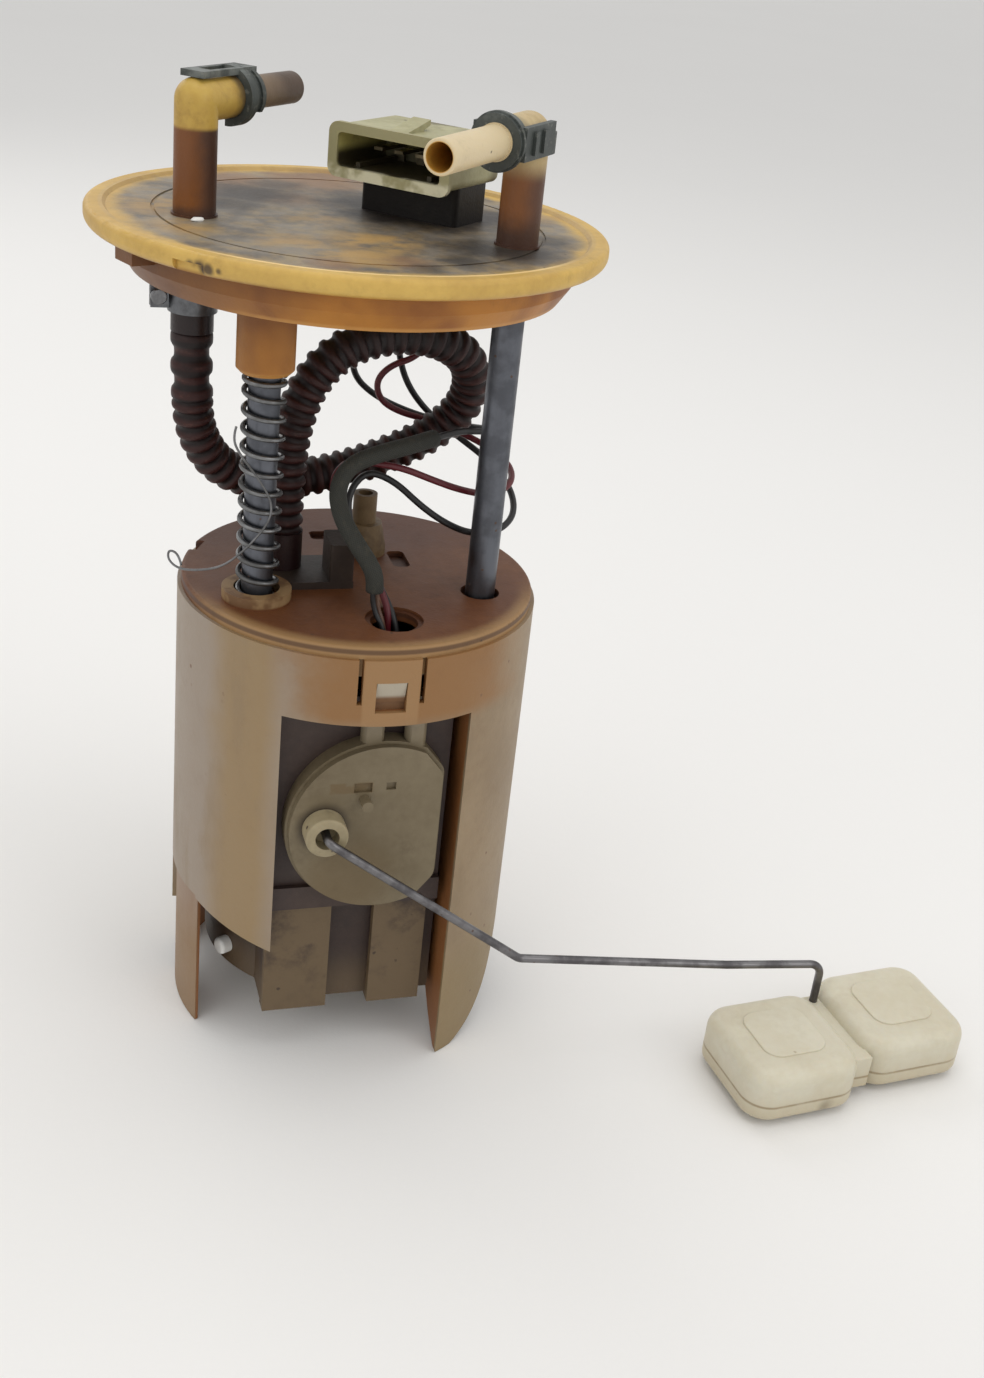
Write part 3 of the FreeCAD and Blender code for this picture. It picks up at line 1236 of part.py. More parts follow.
def pump_outlet():
    """Outlet cover with the brush wells, the bearing seat and the outlet nipple."""
    z1 = PUMP_CASE_Z[1]
    inner = PUMP_R - CASE_T - FIT
    outlet = (RES_X + OUTLET_X, RES_Y + OUTLET_Y)
    body = joined([
        cylinder(PUMP_R, z1 + FIT, z1 + OUTLET_COVER_H, PUMP_AXIS),
        cylinder(inner, z1 - 4, z1 + 1, PUMP_AXIS),
        cylinder(OUTLET_R, z1 + OUTLET_COVER_H - 1, z1 + OUTLET_COVER_H + 9, outlet),
    ])
    body = body.cut(cylinder(OUTLET_R - 1.0, z1 - 5, z1 + OUTLET_COVER_H + 10, outlet))
    return body.cut(cylinder(BEARING_R + FIT, z1 - 5, z1 + 4, PUMP_AXIS))


def bearing_spans():
    """Low ends of the two rotor bearings."""
    return PUMP_CASE_Z[0] + IMPELLER_T + 0.4, PUMP_CASE_Z[1] - 1.2


def pump_bearings():
    """Two carbon bushes that carry the rotor shaft."""
    bushes = [ring(BEARING_R, SHAFT_R + RUN, z, z + BEARING_H, PUMP_AXIS) for z in bearing_spans()]
    return Part.makeCompound(bushes)


def rotor_shaft():
    """Shaft of the pump's rotor."""
    low = PUMP_CASE_Z[0] - 1 + FIT
    high = bearing_spans()[1] + BEARING_H - 0.4
    return cylinder(SHAFT_R, low, high, PUMP_AXIS)


def armature():
    """Slotted core of the rotor, pressed on its shaft."""
    z0, z1 = ARMATURE_Z
    core = cylinder(ARMATURE_R, z0, z1, PUMP_AXIS)
    for i in range(SLOTS):
        groove = block(-0.9, 0.9, -ARMATURE_R - 1, -ARMATURE_R + 4.5, z0 - 1, z1 + 1)
        core = core.cut(turned_about_z(groove, 360.0 * i / SLOTS, PUMP_AXIS))
    return core.cut(cylinder(SHAFT_R + FIT / 2, z0 - 1, z1 + 1, PUMP_AXIS))


def commutator():
    """Commutator of the rotor, above the core."""
    z0, z1 = COMMUTATOR_Z
    drum = ring(COMMUTATOR_R, SHAFT_R + FIT / 2, z0, z1, PUMP_AXIS)
    for i in range(SLOTS):
        groove = block(-0.3, 0.3, -COMMUTATOR_R - 1, -COMMUTATOR_R + 1.0, z0 - 1, z1 + 1)
        drum = drum.cut(turned_about_z(groove, 360.0 * (i + 0.5) / SLOTS, PUMP_AXIS))
    return drum


def impeller():
    """Bladed wheel that drives the fuel."""
    z0 = PUMP_CASE_Z[0] - 1
    wheel = ring(IMPELLER_R, SHAFT_R + FIT / 2, z0, z0 + IMPELLER_T, PUMP_AXIS)
    for i in range(IMPELLER_BLADES):
        pocket = block(-0.6, 0.6, -IMPELLER_R - 1, -IMPELLER_R + 2.6, z0 - 1, z0 + IMPELLER_T + 1)
        wheel = wheel.cut(turned_about_z(pocket, 360.0 * i / IMPELLER_BLADES, PUMP_AXIS))
    return wheel


def magnets():
    """Two curved magnets inside the pump's case."""
    outer = PUMP_R - CASE_T - FIT
    tube = ring(outer, MAGNET_INNER_R, MAGNET_Z[0], MAGNET_Z[1], PUMP_AXIS)
    halves = []
    for start in (90 - MAGNET_SPAN / 2, 270 - MAGNET_SPAN / 2):
        sector = wedge(start, start + MAGNET_SPAN, MAGNET_Z[0] - 1, MAGNET_Z[1] + 1, PUMP_AXIS)
        halves.append(tube.common(sector))
    return Part.makeCompound(halves)


def brush_blocks(start, length, shrink):
    """Two radial blocks on opposite sides of the commutator."""
    z = sum(COMMUTATOR_Z) / 2
    half_w = BRUSH[0] / 2 - shrink
    half_h = BRUSH[1] / 2 - shrink
    shapes = []
    for side in (0, 180):
        shape = block(-half_w, half_w, start, start + length, z - half_h, z + half_h)
        shapes.append(turned_about_z(shape, side, PUMP_AXIS))
    return shapes


def brushes():
    """Carbon brushes on the commutator."""
    return Part.makeCompound(brush_blocks(COMMUTATOR_R + SLIP, BRUSH[2], 0))


def brush_holders():
    """Plastic sleeves that guide the brushes and hang from the outlet cover."""
    start = COMMUTATOR_R + 1.2
    end = PUMP_R - CASE_T - 4 * FIT
    top = PUMP_CASE_Z[1] - 4 - FIT
    z = sum(COMMUTATOR_Z) / 2
    holders = []
    for side in (0, 180):
        outer = block(-BRUSH[0] / 2 - 1.4, BRUSH[0] / 2 + 1.4, start, end - 1.2, z - BRUSH[1] / 2 - 1.0, top)
        well = block(-BRUSH[0] / 2 - FIT, BRUSH[0] / 2 + FIT, start - 1, end - 2.2,
                     z - BRUSH[1] / 2 - FIT, z + BRUSH[1] / 2 + FIT)
        holders.append(turned_about_z(outer.cut(well), side, PUMP_AXIS))
    return Part.makeCompound(holders)


def pump_cushion():
    """Rubber ring between the pump and its seat."""
    floor = POT_LOW_Z + POT_WALL
    low = floor + FIT
    return ring(PUMP_R + CUSHION_T, PUMP_R + FIT, low, low + CUSHION_H, PUMP_AXIS)


def strainer():
    """Flat filter sock under the pot, with the neck that goes on the suction pipe."""
    half_l = STRAINER_L / 2
    half_w = STRAINER_W / 2
    top = STRAINER_TOP_Z
    body = block(-half_l, half_l, -half_w, half_w, top - STRAINER_H, top)
    body = body.makeFillet(9.0, edges_where(body, lambda c, e: e.BoundBox.ZLength > STRAINER_H - 0.1))
    for level in (top, top - STRAINER_H):
        body = body.makeFillet(2.6, edges_where(body, on_level(level)))
    body = moved(body, RES_X + 2, RES_Y + POT_Y + 2, 0)
    neck = cylinder(STRAINER_NECK_R, top - 2, POT_LOW_Z + POT_WALL, PUMP_AXIS)
    body = joined([body, neck])
    return body.cut(cylinder(STRAINER_NECK_R - 1.2 + FIT, top - 4, POT_LOW_Z + POT_WALL + 1, PUMP_AXIS))


def outlet_block():
    """Block on the cap that leads the pump's outlet to the hose nipple."""
    x0, x1, y0, y1 = BLOCK
    nipple = (HOSE_END_X, HOSE_END_Y)
    outlet = (RES_X + OUTLET_X, RES_Y + OUTLET_Y)
    z = CAP_TOP_Z
    tower = block(RES_X + x0 + 6, RES_X + x1, RES_Y + y0, RES_Y + y1, z, z + BLOCK_H)
    tower = tower.makeFillet(0.8, edges_where(tower, lambda c, e: e.BoundBox.ZLength > 5))
    reach = ROD_R + 1.4
    base = block(HOSE_END_X - reach, RES_X + x1, RES_Y + y0, HOSE_END_Y + reach, z, z + BLOCK_BASE_H)
    solids = [
        tower, base,
        cylinder(ROD_R, z, z + BLOCK_BASE_H + LOWER_NIPPLE_H, nipple),
        cylinder(OUTLET_R, OUTLET_LOW_Z, z + 1, outlet),
    ]
    body = joined(solids)
    body = body.cut(cylinder(COLLAR_R + FIT, z - 1, z + BLOCK_H, LEFT_ROD))
    body = body.cut(cylinder(ROD_R - 1.2, z + 1, z + BLOCK_BASE_H + LOWER_NIPPLE_H + 1, nipple))
    return body.cut(cylinder(OUTLET_R - 1.0, OUTLET_LOW_Z - 1, z + 1, outlet))


def outlet_tube():
    """Short tube from the pump's outlet nipple to the spigot under the cap."""
    outlet = (RES_X + OUTLET_X, RES_Y + OUTLET_Y)
    low = PUMP_CASE_Z[1] + OUTLET_COVER_H + FIT
    return ring(OUTLET_R + 1.6, OUTLET_R + FIT, low, SHELL_TOP_Z - FIT, outlet)


def regulator_port():
    """Stepped port on the cap."""
    at = (RES_X + PORT_X, RES_Y + PORT_Y)
    z = CAP_TOP_Z
    body = turned((
        (0, z), (PORT_BASE_R, z), (PORT_BASE_R, z + 2), (PORT_SHOULDER_R, z + PORT_SHOULDER_H),
        (PORT_R, z + PORT_SHOULDER_H), (PORT_R, z + PORT_H), (0, z + PORT_H)), at)
    return body.cut(cylinder(PORT_BORE_R, z + 3, z + PORT_H + 1, at))


def upper_cuff():
    """Smooth end of the hose on the supply nipple."""
    inner = ROD_R + BARB_H + FIT
    return ring(HOSE_R, inner, HOSE_TOP_Z, HOSE_TOP_Z + CUFF_H, (SUPPLY_X, SUPPLY_Y))


def lower_cuff():
    """Smooth end of the hose on the outlet block's nipple."""
    low = CAP_TOP_Z + BLOCK_BASE_H + FIT
    return ring(HOSE_R, ROD_R + FIT, low, HOSE_LOW_Z - SLIP, (HOSE_END_X, HOSE_END_Y))


def hose_clamp():
    """Steel band with its ear, round the upper cuff."""
    at = (SUPPLY_X, SUPPLY_Y)
    z0 = HOSE_TOP_Z + CUFF_H - CLAMP_H - 1.5
    inner = HOSE_R + FIT
    band = ring(inner + CLAMP_T, inner, z0, z0 + CLAMP_H, at)
    ear = block(-CLAMP_EAR - inner, -inner - CLAMP_T / 2, -1.6, 1.6, z0 + 0.8, z0 + CLAMP_H - 0.8)
    slot = block(-CLAMP_EAR - inner - 1, -inner - CLAMP_T - 0.4, -0.7, 0.7, z0, z0 + CLAMP_H)
    return joined([band, moved(ear.cut(slot), at[0], at[1])])


def clamp_screw():
    """Screw through the ear of the clamp."""
    z = HOSE_TOP_Z + CUFF_H - CLAMP_H / 2 - 1.5
    x = SUPPLY_X - HOSE_R - CLAMP_EAR * 0.62
    head = Part.makeCylinder(2.0, 1.4, V(x, SUPPLY_Y - 1.6 - FIT - 1.4, z), V(0, 1, 0))
    outer = edges_where(head, lambda c, e: c.y < SUPPLY_Y - 2.9 and e.BoundBox.YLength < 0.01)
    return head.makeFillet(0.4, outer)


def hose():
    """Corrugated hose in one loop, as a plain tube along its route."""
    return swept_tube("hose", HOSE_ROUTE, HOSE_R)


def black_wire():
    """Black supply wire."""
    return swept_tube("black_wire", BLACK_WIRE_ROUTE, WIRE_R)


def red_wire():
    """Red supply wire."""
    return swept_tube("red_wire", RED_WIRE_ROUTE, WIRE_R)


def sender_lead():
    """Dark lead of the level sender, up to its sleeve."""
    return swept_tube("sender_lead", SENDER_LEAD_ROUTE, WIRE_R)


def wire_sleeve():
    """Grey sleeve round the sender's leads."""
    return swept_tube("wire_sleeve", SLEEVE_ROUTE, SLEEVE_TUBE_R)


def brown_tail():
    """Brown core between the sleeve and the plug under the cap."""
    return swept_tube("brown_tail", BROWN_TAIL_ROUTE, TAIL_R)


def dark_tail():
    """Dark core between the sleeve and the plug under the cap."""
    return swept_tube("dark_tail", DARK_TAIL_ROUTE, TAIL_R)


def wire_plug():
    """Plug under the cap that takes the wires."""
    at = (RES_X + WIRE_HOLE[0], RES_Y + WIRE_HOLE[1])
    top = WIRE_PLUG_TOP_Z
    body = block(at[0] - 6.0, at[0] + 6.0, at[1] - 3.4, at[1] + 4.0, top - 8.0, top)
    return body.makeFillet(1.0, edges_where(body, lambda c, e: e.BoundBox.ZLength > 5))


PIECES = {
    "cover": cover,
    "supply_pipe": supply_pipe,
    "return_pipe": return_pipe,
    "supply_retainer": supply_retainer,
    "return_retainer": return_retainer,
    "connector_base": connector_base,
    "connector_socket": connector_socket,
    "connector_pins": connector_pins,
    "cover_plug": cover_plug,
    "guide_rod": guide_rod,
    "return_rod": return_rod,
    "rod_clips": rod_clips,
    "spring": spring,
    "upper_cuff": upper_cuff,
    "hose_clamp": hose_clamp,
    "clamp_screw": clamp_screw,
    "hose": hose,
    "black_wire": black_wire,
    "red_wire": red_wire,
    "sender_lead": sender_lead,
    "wire_sleeve": wire_sleeve,
    "brown_tail": brown_tail,
    "dark_tail": dark_tail,
    "shell": shell,
    "cap": cap,
    "guide_bushes": guide_bushes,
    "outlet_block": outlet_block,
    "regulator_port": regulator_port,
    "lower_cuff": lower_cuff,
    "wire_plug": wire_plug,
    "swirl_pot": swirl_pot,
    "inlet_valve": inlet_valve,
    "pot_nub": pot_nub,
    "strainer": strainer,
    "sender_plate": sender_plate,
    "sender_case": sender_case,
    "sender_cover": sender_cover,
    "resistor_card": resistor_card,
    "outlet_tube": outlet_tube,
    "pump_case": pump_case,
    "pump_inlet": pump_inlet,
    "pump_outlet": pump_outlet,
    "pump_bearings": pump_bearings,
    "pump_cushion": pump_cushion,
    "magnets": magnets,
    "brushes": brushes,
    "brush_holders": brush_holders,
    "arm_hub": arm_hub,
    "wiper": wiper,
    "float_arm": float_arm,
    "float_upper": lambda: float_half(True),
    "float_lower": lambda: float_half(False),
    "rotor_shaft": rotor_shaft,
    "armature": armature,
    "commutator": commutator,
    "impeller": impeller,
}


def main():
    """Builds every piece and writes one file for each."""
    os.makedirs("parts", exist_ok=True)
    for name, make in PIECES.items():
        shape = make()
        if not shape.isValid():
            print("invalid", name)
        print(name, "solids", len(shape.Solids), "volume %.0f" % shape.Volume)
        shape.exportStep("parts/%s.step" % name)


main()
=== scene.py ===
"""Looks of an in-tank fuel pump module: finishes, hose, wires, spring, filter, lights, camera."""
import logging
import math
from dataclasses import dataclass
from enum import Enum
from functools import lru_cache
from typing import Any, Callable, Sequence

import bmesh
import bpy
from mathutils import Matrix, Vector


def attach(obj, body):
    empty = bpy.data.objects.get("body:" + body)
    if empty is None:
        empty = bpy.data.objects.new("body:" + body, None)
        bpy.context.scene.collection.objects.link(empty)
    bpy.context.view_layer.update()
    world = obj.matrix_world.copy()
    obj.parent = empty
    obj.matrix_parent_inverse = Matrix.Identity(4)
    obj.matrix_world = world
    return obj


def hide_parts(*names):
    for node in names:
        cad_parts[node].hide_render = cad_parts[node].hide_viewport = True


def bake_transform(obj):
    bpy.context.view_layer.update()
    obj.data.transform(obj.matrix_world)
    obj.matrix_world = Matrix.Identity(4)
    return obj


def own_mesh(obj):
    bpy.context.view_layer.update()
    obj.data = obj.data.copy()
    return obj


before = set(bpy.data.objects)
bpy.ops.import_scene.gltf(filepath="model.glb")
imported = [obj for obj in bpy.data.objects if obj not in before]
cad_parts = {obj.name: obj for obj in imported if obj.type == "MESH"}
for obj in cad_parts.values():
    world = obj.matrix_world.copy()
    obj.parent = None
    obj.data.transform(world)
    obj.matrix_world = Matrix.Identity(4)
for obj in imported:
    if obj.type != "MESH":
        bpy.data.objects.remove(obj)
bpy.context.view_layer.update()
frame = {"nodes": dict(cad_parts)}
LOG = logging.getLogger("fuel_module")

Point = tuple[float, float, float]
Route = tuple[Point, ...]
Colour = tuple[float, float, float]
Span = tuple[float, float]
Spot = tuple[Point, float, float]

RESERVOIR_AXIS = (0.0064, -0.0078)
LAY_MAP = "lay"
FULL_TURN = 2.0 * math.pi
GLOW_DEPTH = (0.0025, 0.0014, 0.0006)

HOSE_ROUTE: Route = (
    (-0.0392, -0.0038, -0.024), (-0.0392, -0.0038, -0.038), (-0.0376, -0.0014, -0.052),
    (-0.03, 0.0026, -0.0632), (-0.017, 0.0065, -0.0678), (-0.002, 0.0088, -0.0668),
    (0.013, 0.0102, -0.0628), (0.028, 0.0094, -0.0556), (0.0372, 0.0065, -0.045),
    (0.036, 0.002, -0.0326), (0.026, -0.0024, -0.025), (0.012, -0.0056, -0.0228),
    (-0.0014, -0.0072, -0.0265), (-0.0098, -0.0072, -0.0356), (-0.0136, -0.0066, -0.048),
    (-0.0146, -0.006, -0.062), (-0.0146, -0.006, -0.0761),
)
BLACK_ROUTE: Route = (
    (0.0183, 0.0109, -0.01005), (0.0183, 0.0109, -0.018), (0.0186, 0.016, -0.0265),
    (0.02, 0.021, -0.035), (0.0235, 0.0226, -0.045), (0.0305, 0.0224, -0.0535),
    (0.0395, 0.019, -0.0595), (0.047, 0.0115, -0.064), (0.0508, 0.002, -0.0685),
    (0.0494, -0.0074, -0.0726), (0.043, -0.0134, -0.075), (0.0346, -0.0154, -0.0746),
    (0.0272, -0.0164, -0.0712), (0.0202, -0.0164, -0.0664), (0.013, -0.012, -0.0605),
    (0.0055, -0.0115, -0.058), (0.0005, -0.0135, -0.064), (0.001, -0.0185, -0.072),
    (0.0045, -0.024, -0.079), (0.0085, -0.03, -0.0855), (0.011, -0.035, -0.092),
    (0.0118, -0.0362, -0.099),
)
RED_ROUTE: Route = (
    (0.0227, 0.0067, -0.01005), (0.0227, 0.0067, -0.017), (0.026, 0.011, -0.024),
    (0.028, 0.0164, -0.0305), (0.0244, 0.0184, -0.0364), (0.0178, 0.0186, -0.0386),
    (0.0139, 0.0187, -0.043), (0.0152, 0.0186, -0.0484), (0.0208, 0.0184, -0.0518),
    (0.029, 0.018, -0.0538), (0.038, 0.0146, -0.0562), (0.0454, 0.0076, -0.0586),
    (0.049, -0.0014, -0.0608), (0.0466, -0.0096, -0.063), (0.0396, -0.0134, -0.0644),
    (0.031, -0.0148, -0.0624), (0.0226, -0.0154, -0.0592), (0.0146, -0.0146, -0.0562),
    (0.007, -0.0136, -0.0552), (0.0008, -0.0125, -0.0545), (-0.004, -0.014, -0.059),
    (-0.0035, -0.018, -0.067), (0.0005, -0.023, -0.0745), (0.006, -0.0285, -0.081),
    (0.0088, -0.033, -0.0875), (0.0088, -0.0345, -0.093), (0.0088, -0.0345, -0.099),
)
LEAD_ROUTE: Route = (
    (0.014, 0.015, -0.01005), (0.014, 0.015, -0.018), (0.0106, 0.018, -0.0265),
    (0.0074, 0.0215, -0.035), (0.0088, 0.0246, -0.0436), (0.0156, 0.0264, -0.0498),
    (0.025, 0.0268, -0.0542), (0.035, 0.0246, -0.0566), (0.0435, 0.0176, -0.056),
    (0.0476, 0.0085, -0.0534), (0.0454, 0.0002, -0.051), (0.0386, -0.0026, -0.0502),
    (0.032, -0.003, -0.05), (0.024, -0.009, -0.05),
)
SLEEVE_ROUTE: Route = (
    (0.024, -0.009, -0.05), (0.016, -0.015, -0.05), (0.007, -0.0188, -0.0508),
    (-0.0008, -0.0208, -0.053), (-0.0044, -0.0228, -0.0584), (-0.0038, -0.0262, -0.0646),
    (-0.0004, -0.0304, -0.0704), (0.0034, -0.034, -0.0756), (0.0044, -0.035, -0.079),
    (0.0044, -0.035, -0.082),
)
BROWN_TAIL_ROUTE: Route = (
    (0.0052, -0.0344, -0.082), (0.0052, -0.0344, -0.0862), (0.0074, -0.0368, -0.0916),
    (0.0074, -0.0368, -0.099),
)
DARK_TAIL_ROUTE: Route = (
    (0.0038, -0.0358, -0.082), (0.0038, -0.0358, -0.0862), (0.0072, -0.0394, -0.092),
    (0.0072, -0.0394, -0.099),
)

TIE_ROUTE: Route = (
    (-0.0315, -0.0302, -0.0400), (-0.0322, -0.0302, -0.0425), (-0.0312, -0.0304, -0.0460),
    (-0.0258, -0.0306, -0.0530), (-0.0222, -0.0306, -0.0590), (-0.0224, -0.0308, -0.0640),
    (-0.0262, -0.0314, -0.0690), (-0.0310, -0.0312, -0.0740), (-0.0350, -0.0296, -0.0772),
    (-0.0400, -0.0262, -0.0792), (-0.0440, -0.0230, -0.0800), (-0.0463, -0.0205, -0.0785),
    (-0.0461, -0.0205, -0.0757), (-0.0438, -0.0225, -0.0762), (-0.0432, -0.0232, -0.0790),
)


class Body(Enum):
    """Rigid groups that carry pieces made here."""

    COVER = "cover"
    RESERVOIR = "reservoir"


class Lay(Enum):
    """How a cord lies."""

    LOOSE = "loose"


# ---------------------------------------------------------------- shader maths


class Socket:
    """A value in a shader graph; arithmetic on it adds Math nodes."""

    def __init__(self, graph: "Graph", link: bpy.types.NodeSocket) -> None:
        """Keeps the graph and the output that carries the value.

        Args:
            graph: Graph that the node stands in.
            link: Output socket of the node.
        """
        self.graph = graph
        self.link = link

    def _math(self, operation: str, *values: "Socket | float") -> "Socket":
        """Adds one Math node.

        Args:
            operation: Blender's name of the operation.
            values: Operands in order.

        Returns:
            The result.
        """
        return self.graph.node("ShaderNodeMath", {"operation": operation}, dict(enumerate(values)))

    def __add__(self, other: "Socket | float") -> "Socket":
        """Sum."""
        return self._math("ADD", self, other)

    def __radd__(self, other: float) -> "Socket":
        """Sum with the value on the right."""
        return self._math("ADD", other, self)

    def __sub__(self, other: "Socket | float") -> "Socket":
        """Difference."""
        return self._math("SUBTRACT", self, other)

    def __rsub__(self, other: float) -> "Socket":
        """Difference with the value on the right."""
        return self._math("SUBTRACT", other, self)

    def __mul__(self, other: "Socket | float") -> "Socket":
        """Product."""
        return self._math("MULTIPLY", self, other)

    def __rmul__(self, other: float) -> "Socket":
        """Product with the value on the right."""
        return self._math("MULTIPLY", other, self)

    def size(self) -> "Socket":
        """Value without its sign."""
        return self._math("ABSOLUTE", self)

    def sine(self) -> "Socket":
        """Sine of the value in radians."""
        return self._math("SINE", self)

    def most(self, other: "Socket | float") -> "Socket":
        """Larger of two values."""
        return self._math("MAXIMUM", self, other)

    def ramp(self, start: float, end: float) -> "Socket":
        """Smooth step from 0 at start to 1 at end; start may be the larger.

        Args:
            start: Value that gives 0.
            end: Value that gives 1.

        Returns:
            The step.
        """
        return self.graph.node(
            "ShaderNodeMapRange", {"interpolation_type": "SMOOTHSTEP"}, {0: self, 1: start, 2: end}
        )

    def inside(self, low: float, high: float, soft: float) -> "Socket":
        """Band that is 1 between two values.

        Args:
            low: Lower edge.
            high: Upper edge.
            soft: Width of each edge.

        Returns:
            The band's mask.
        """
        return self.ramp(low - soft, low + soft) * self.ramp(high + soft, high - soft)

    def other(self, name: str) -> "Socket":
        """Another output of the same node."""
        return Socket(self.graph, self.link.node.outputs[name])


class Graph:
    """Node graph of one material, with the patterns that the finishes share."""

    def __init__(self, name: str) -> None:
        """Makes the material.

        Args:
            name: Name of the material.
        """
        self.material = bpy.data.materials.new(name)
        self.material.use_nodes = True
        self.tree = self.material.node_tree
        self._place: Socket | None = None
        self._axes: Socket | None = None

    def node(
        self,
        kind: str,
        settings: dict[str, Any] | None = None,
        values: dict[int | str, Any] | None = None,
        output: int | str = 0,
    ) -> Socket:
        """Adds a node.

        Args:
            kind: Node type.
            settings: Properties of the node, set before its sockets.
            values: Values or links of its input sockets, by number or name.
            output: Output that is returned.

        Returns:
            The chosen output.
        """
        made = self.tree.nodes.new(kind)
        for key, value in (settings or {}).items():
            setattr(made, key, value)
        self._fill(made, values or {})
        return Socket(self, made.outputs[output])

    def _fill(self, made: bpy.types.Node, values: dict[int | str, Any]) -> None:
        """Gives input sockets their values or links.

        Args:
            made: Node to fill.
            values: Values or Socket links by number or name.
        """
        for key, value in values.items():
            target = made.inputs[key]
            if isinstance(value, Socket):
                self.tree.links.new(value.link, target)
            elif target.type == "RGBA" and len(value) == 3:
                target.default_value = (*value, 1.0)
            else:
                target.default_value = value

    def place(self) -> Socket:
        """Object coordinates, which are the object's frame in metres."""
        if self._place is None:
            self._place = self.node("ShaderNodeTexCoord", {}, {}, "Object")
        return self._place

    def axis(self, name: str) -> Socket:
        """Coordinate X, Y or Z."""
        if self._axes is None:
            self._axes = self.node("ShaderNodeSeparateXYZ", {}, {0: self.place()})
        return self._axes.other(name)

    def shifted(self, origin: Point, stretch: Point = (1.0, 1.0, 1.0)) -> Socket:
        """Object coordinates moved and stretched by a Mapping node.

        Args:
            origin: Shift.
            stretch: Factor on each axis.

        Returns:
            The mapped vector.
        """
        return self.node(
            "ShaderNodeMapping", {}, {"Vector": self.place(), "Location": origin, "Scale": stretch}
        )

    def noise(
        self,
        scale: float,
        seed: float = 0.0,
        detail: float = 3.0,
        stretch: Point = (1.0, 1.0, 1.0),
        rough: float = 0.6,
    ) -> Socket:
        """Cloudy pattern around one half.

        Args:
            scale: Features per metre.
            seed: Shift that makes the pattern another one.
            detail: Octaves.
            stretch: Factor on each axis.
            rough: Strength of the fine octaves.

        Returns:
            The pattern, 0 to 1.
        """
        where = self.shifted((seed, 0.7 * seed, 1.3 * seed), stretch)
        values = {"Vector": where, "Scale": scale, "Detail": detail, "Roughness": rough}
        return self.node("ShaderNodeTexNoise", {}, values)

    def specks(self, scale: float, size: float, share: float, seed: float = 0.0) -> Socket:
        """Small separate spots.

        Args:
            scale: Cells per metre.
            size: Radius of a spot in cells.
            share: Part of the cells that has a spot.
            seed: Shift of the pattern.

        Returns:
            The spots' mask.
        """
        where = self.shifted((seed, seed, seed))
        cells = self.node("ShaderNodeTexVoronoi", {}, {"Vector": where, "Scale": scale}, "Distance")
        chance = self.node("ShaderNodeSeparateColor", {}, {0: cells.other("Color")})
        spread = cells + 0.35 * self.noise(scale * 2.3, seed + 3.0, 2.0) - 0.17
        return spread.ramp(size, size * 0.45) * chance.ramp(1.0 - share - 0.02, 1.0 - share + 0.02)

    def distance(self, centre: Point, wobble: float = 0.0, seed: float = 0.0) -> Socket:
        """Distance from a point.

        Args:
            centre: The point.
            wobble: How much noise moves the distance.
            seed: Shift of the noise.

        Returns:
            The distance in metres.
        """
        away = self.node(
            "ShaderNodeVectorMath", {"operation": "DISTANCE"}, {0: self.place(), 1: centre}, "Value"
        )
        return away if not wobble else away + wobble * (self.noise(110.0, seed, 4.0) - 0.5)

    def along(self, origin: Point, direction: Point) -> Socket:
        """Distance along a direction.

        Args:
            origin: Point where it is 0.
            direction: Unit vector.

        Returns:
            The distance in metres.
        """
        start = Vector(origin).dot(Vector(direction))
        values = {0: self.place(), 1: direction}
        ahead = self.node("ShaderNodeVectorMath", {"operation": "DOT_PRODUCT"}, values, "Value")
        return ahead - start

    def length(self, x: Socket, y: Socket) -> Socket:
        """Length of the vector (x, y, 0)."""
        flat = self.node("ShaderNodeCombineXYZ", {}, {0: x, 1: y})
        return self.node("ShaderNodeVectorMath", {"operation": "LENGTH"}, {0: flat}, "Value")

    def spots(self, places: Sequence[Spot], soft: float = 0.5, seed: float = 0.0) -> Socket:
        """Cloudy stains at given places.

        Args:
            places: Centre, radius and strength of each.
            soft: Soft share of each radius.
            seed: Shift of the edges' noise.

        Returns:
            The stains' mask.
        """
        found = None
        for number, (centre, radius, strength) in enumerate(places):
            reach = self.distance(centre, 1.6 * radius, seed + number)
            stain = strength * reach.ramp(radius * (1.0 + soft), radius * (1.0 - soft))
            found = stain if found is None else found.most(stain)
        return found

    def mix(self, share: Socket | float, below: Socket | Colour, above: Socket | Colour) -> Socket:
        """Colour between two.

        Args:
            share: 0 for the first, 1 for the second.
            below: First colour.
            above: Second colour.

        Returns:
            The mixed colour.
        """
        return self.node("ShaderNodeMix", {"data_type": "RGBA"}, {0: share, 6: below, 7: above}, 2)

    def surface(self, values: dict[str, Any], height: Socket, relief: float) -> bpy.types.Material:
        """Fills the shader.

        Args:
            values: Values or links of the shader's sockets.
            height: Height of the relief.
            relief: Height in metres that 1 stands for.

        Returns:
            The finished material.
        """
        shader = next(n for n in self.tree.nodes if n.type == "BSDF_PRINCIPLED")
        bump_values = {"Strength": 1.0, "Distance": relief, "Height": height}
        bump = self.node("ShaderNodeBump", {}, bump_values)
        self._fill(shader, {**values, "Normal": bump})
        return self.material


class Tint:
    """A colour that is built up in layers."""

    def __init__(self, graph: Graph, colour: Socket | Colour) -> None:
        """Starts with a ground colour.

        Args:
            graph: Graph of the material.
            colour: The ground.
        """
        self.graph = graph
        self.colour = colour

    def lay(self, mask: Socket, colour: Socket | Colour) -> None:
        """Lays a colour over where the mask is 1."""
        self.colour = self.graph.mix(mask, self.colour, colour)


# ---------------------------------------------------------------- finishes


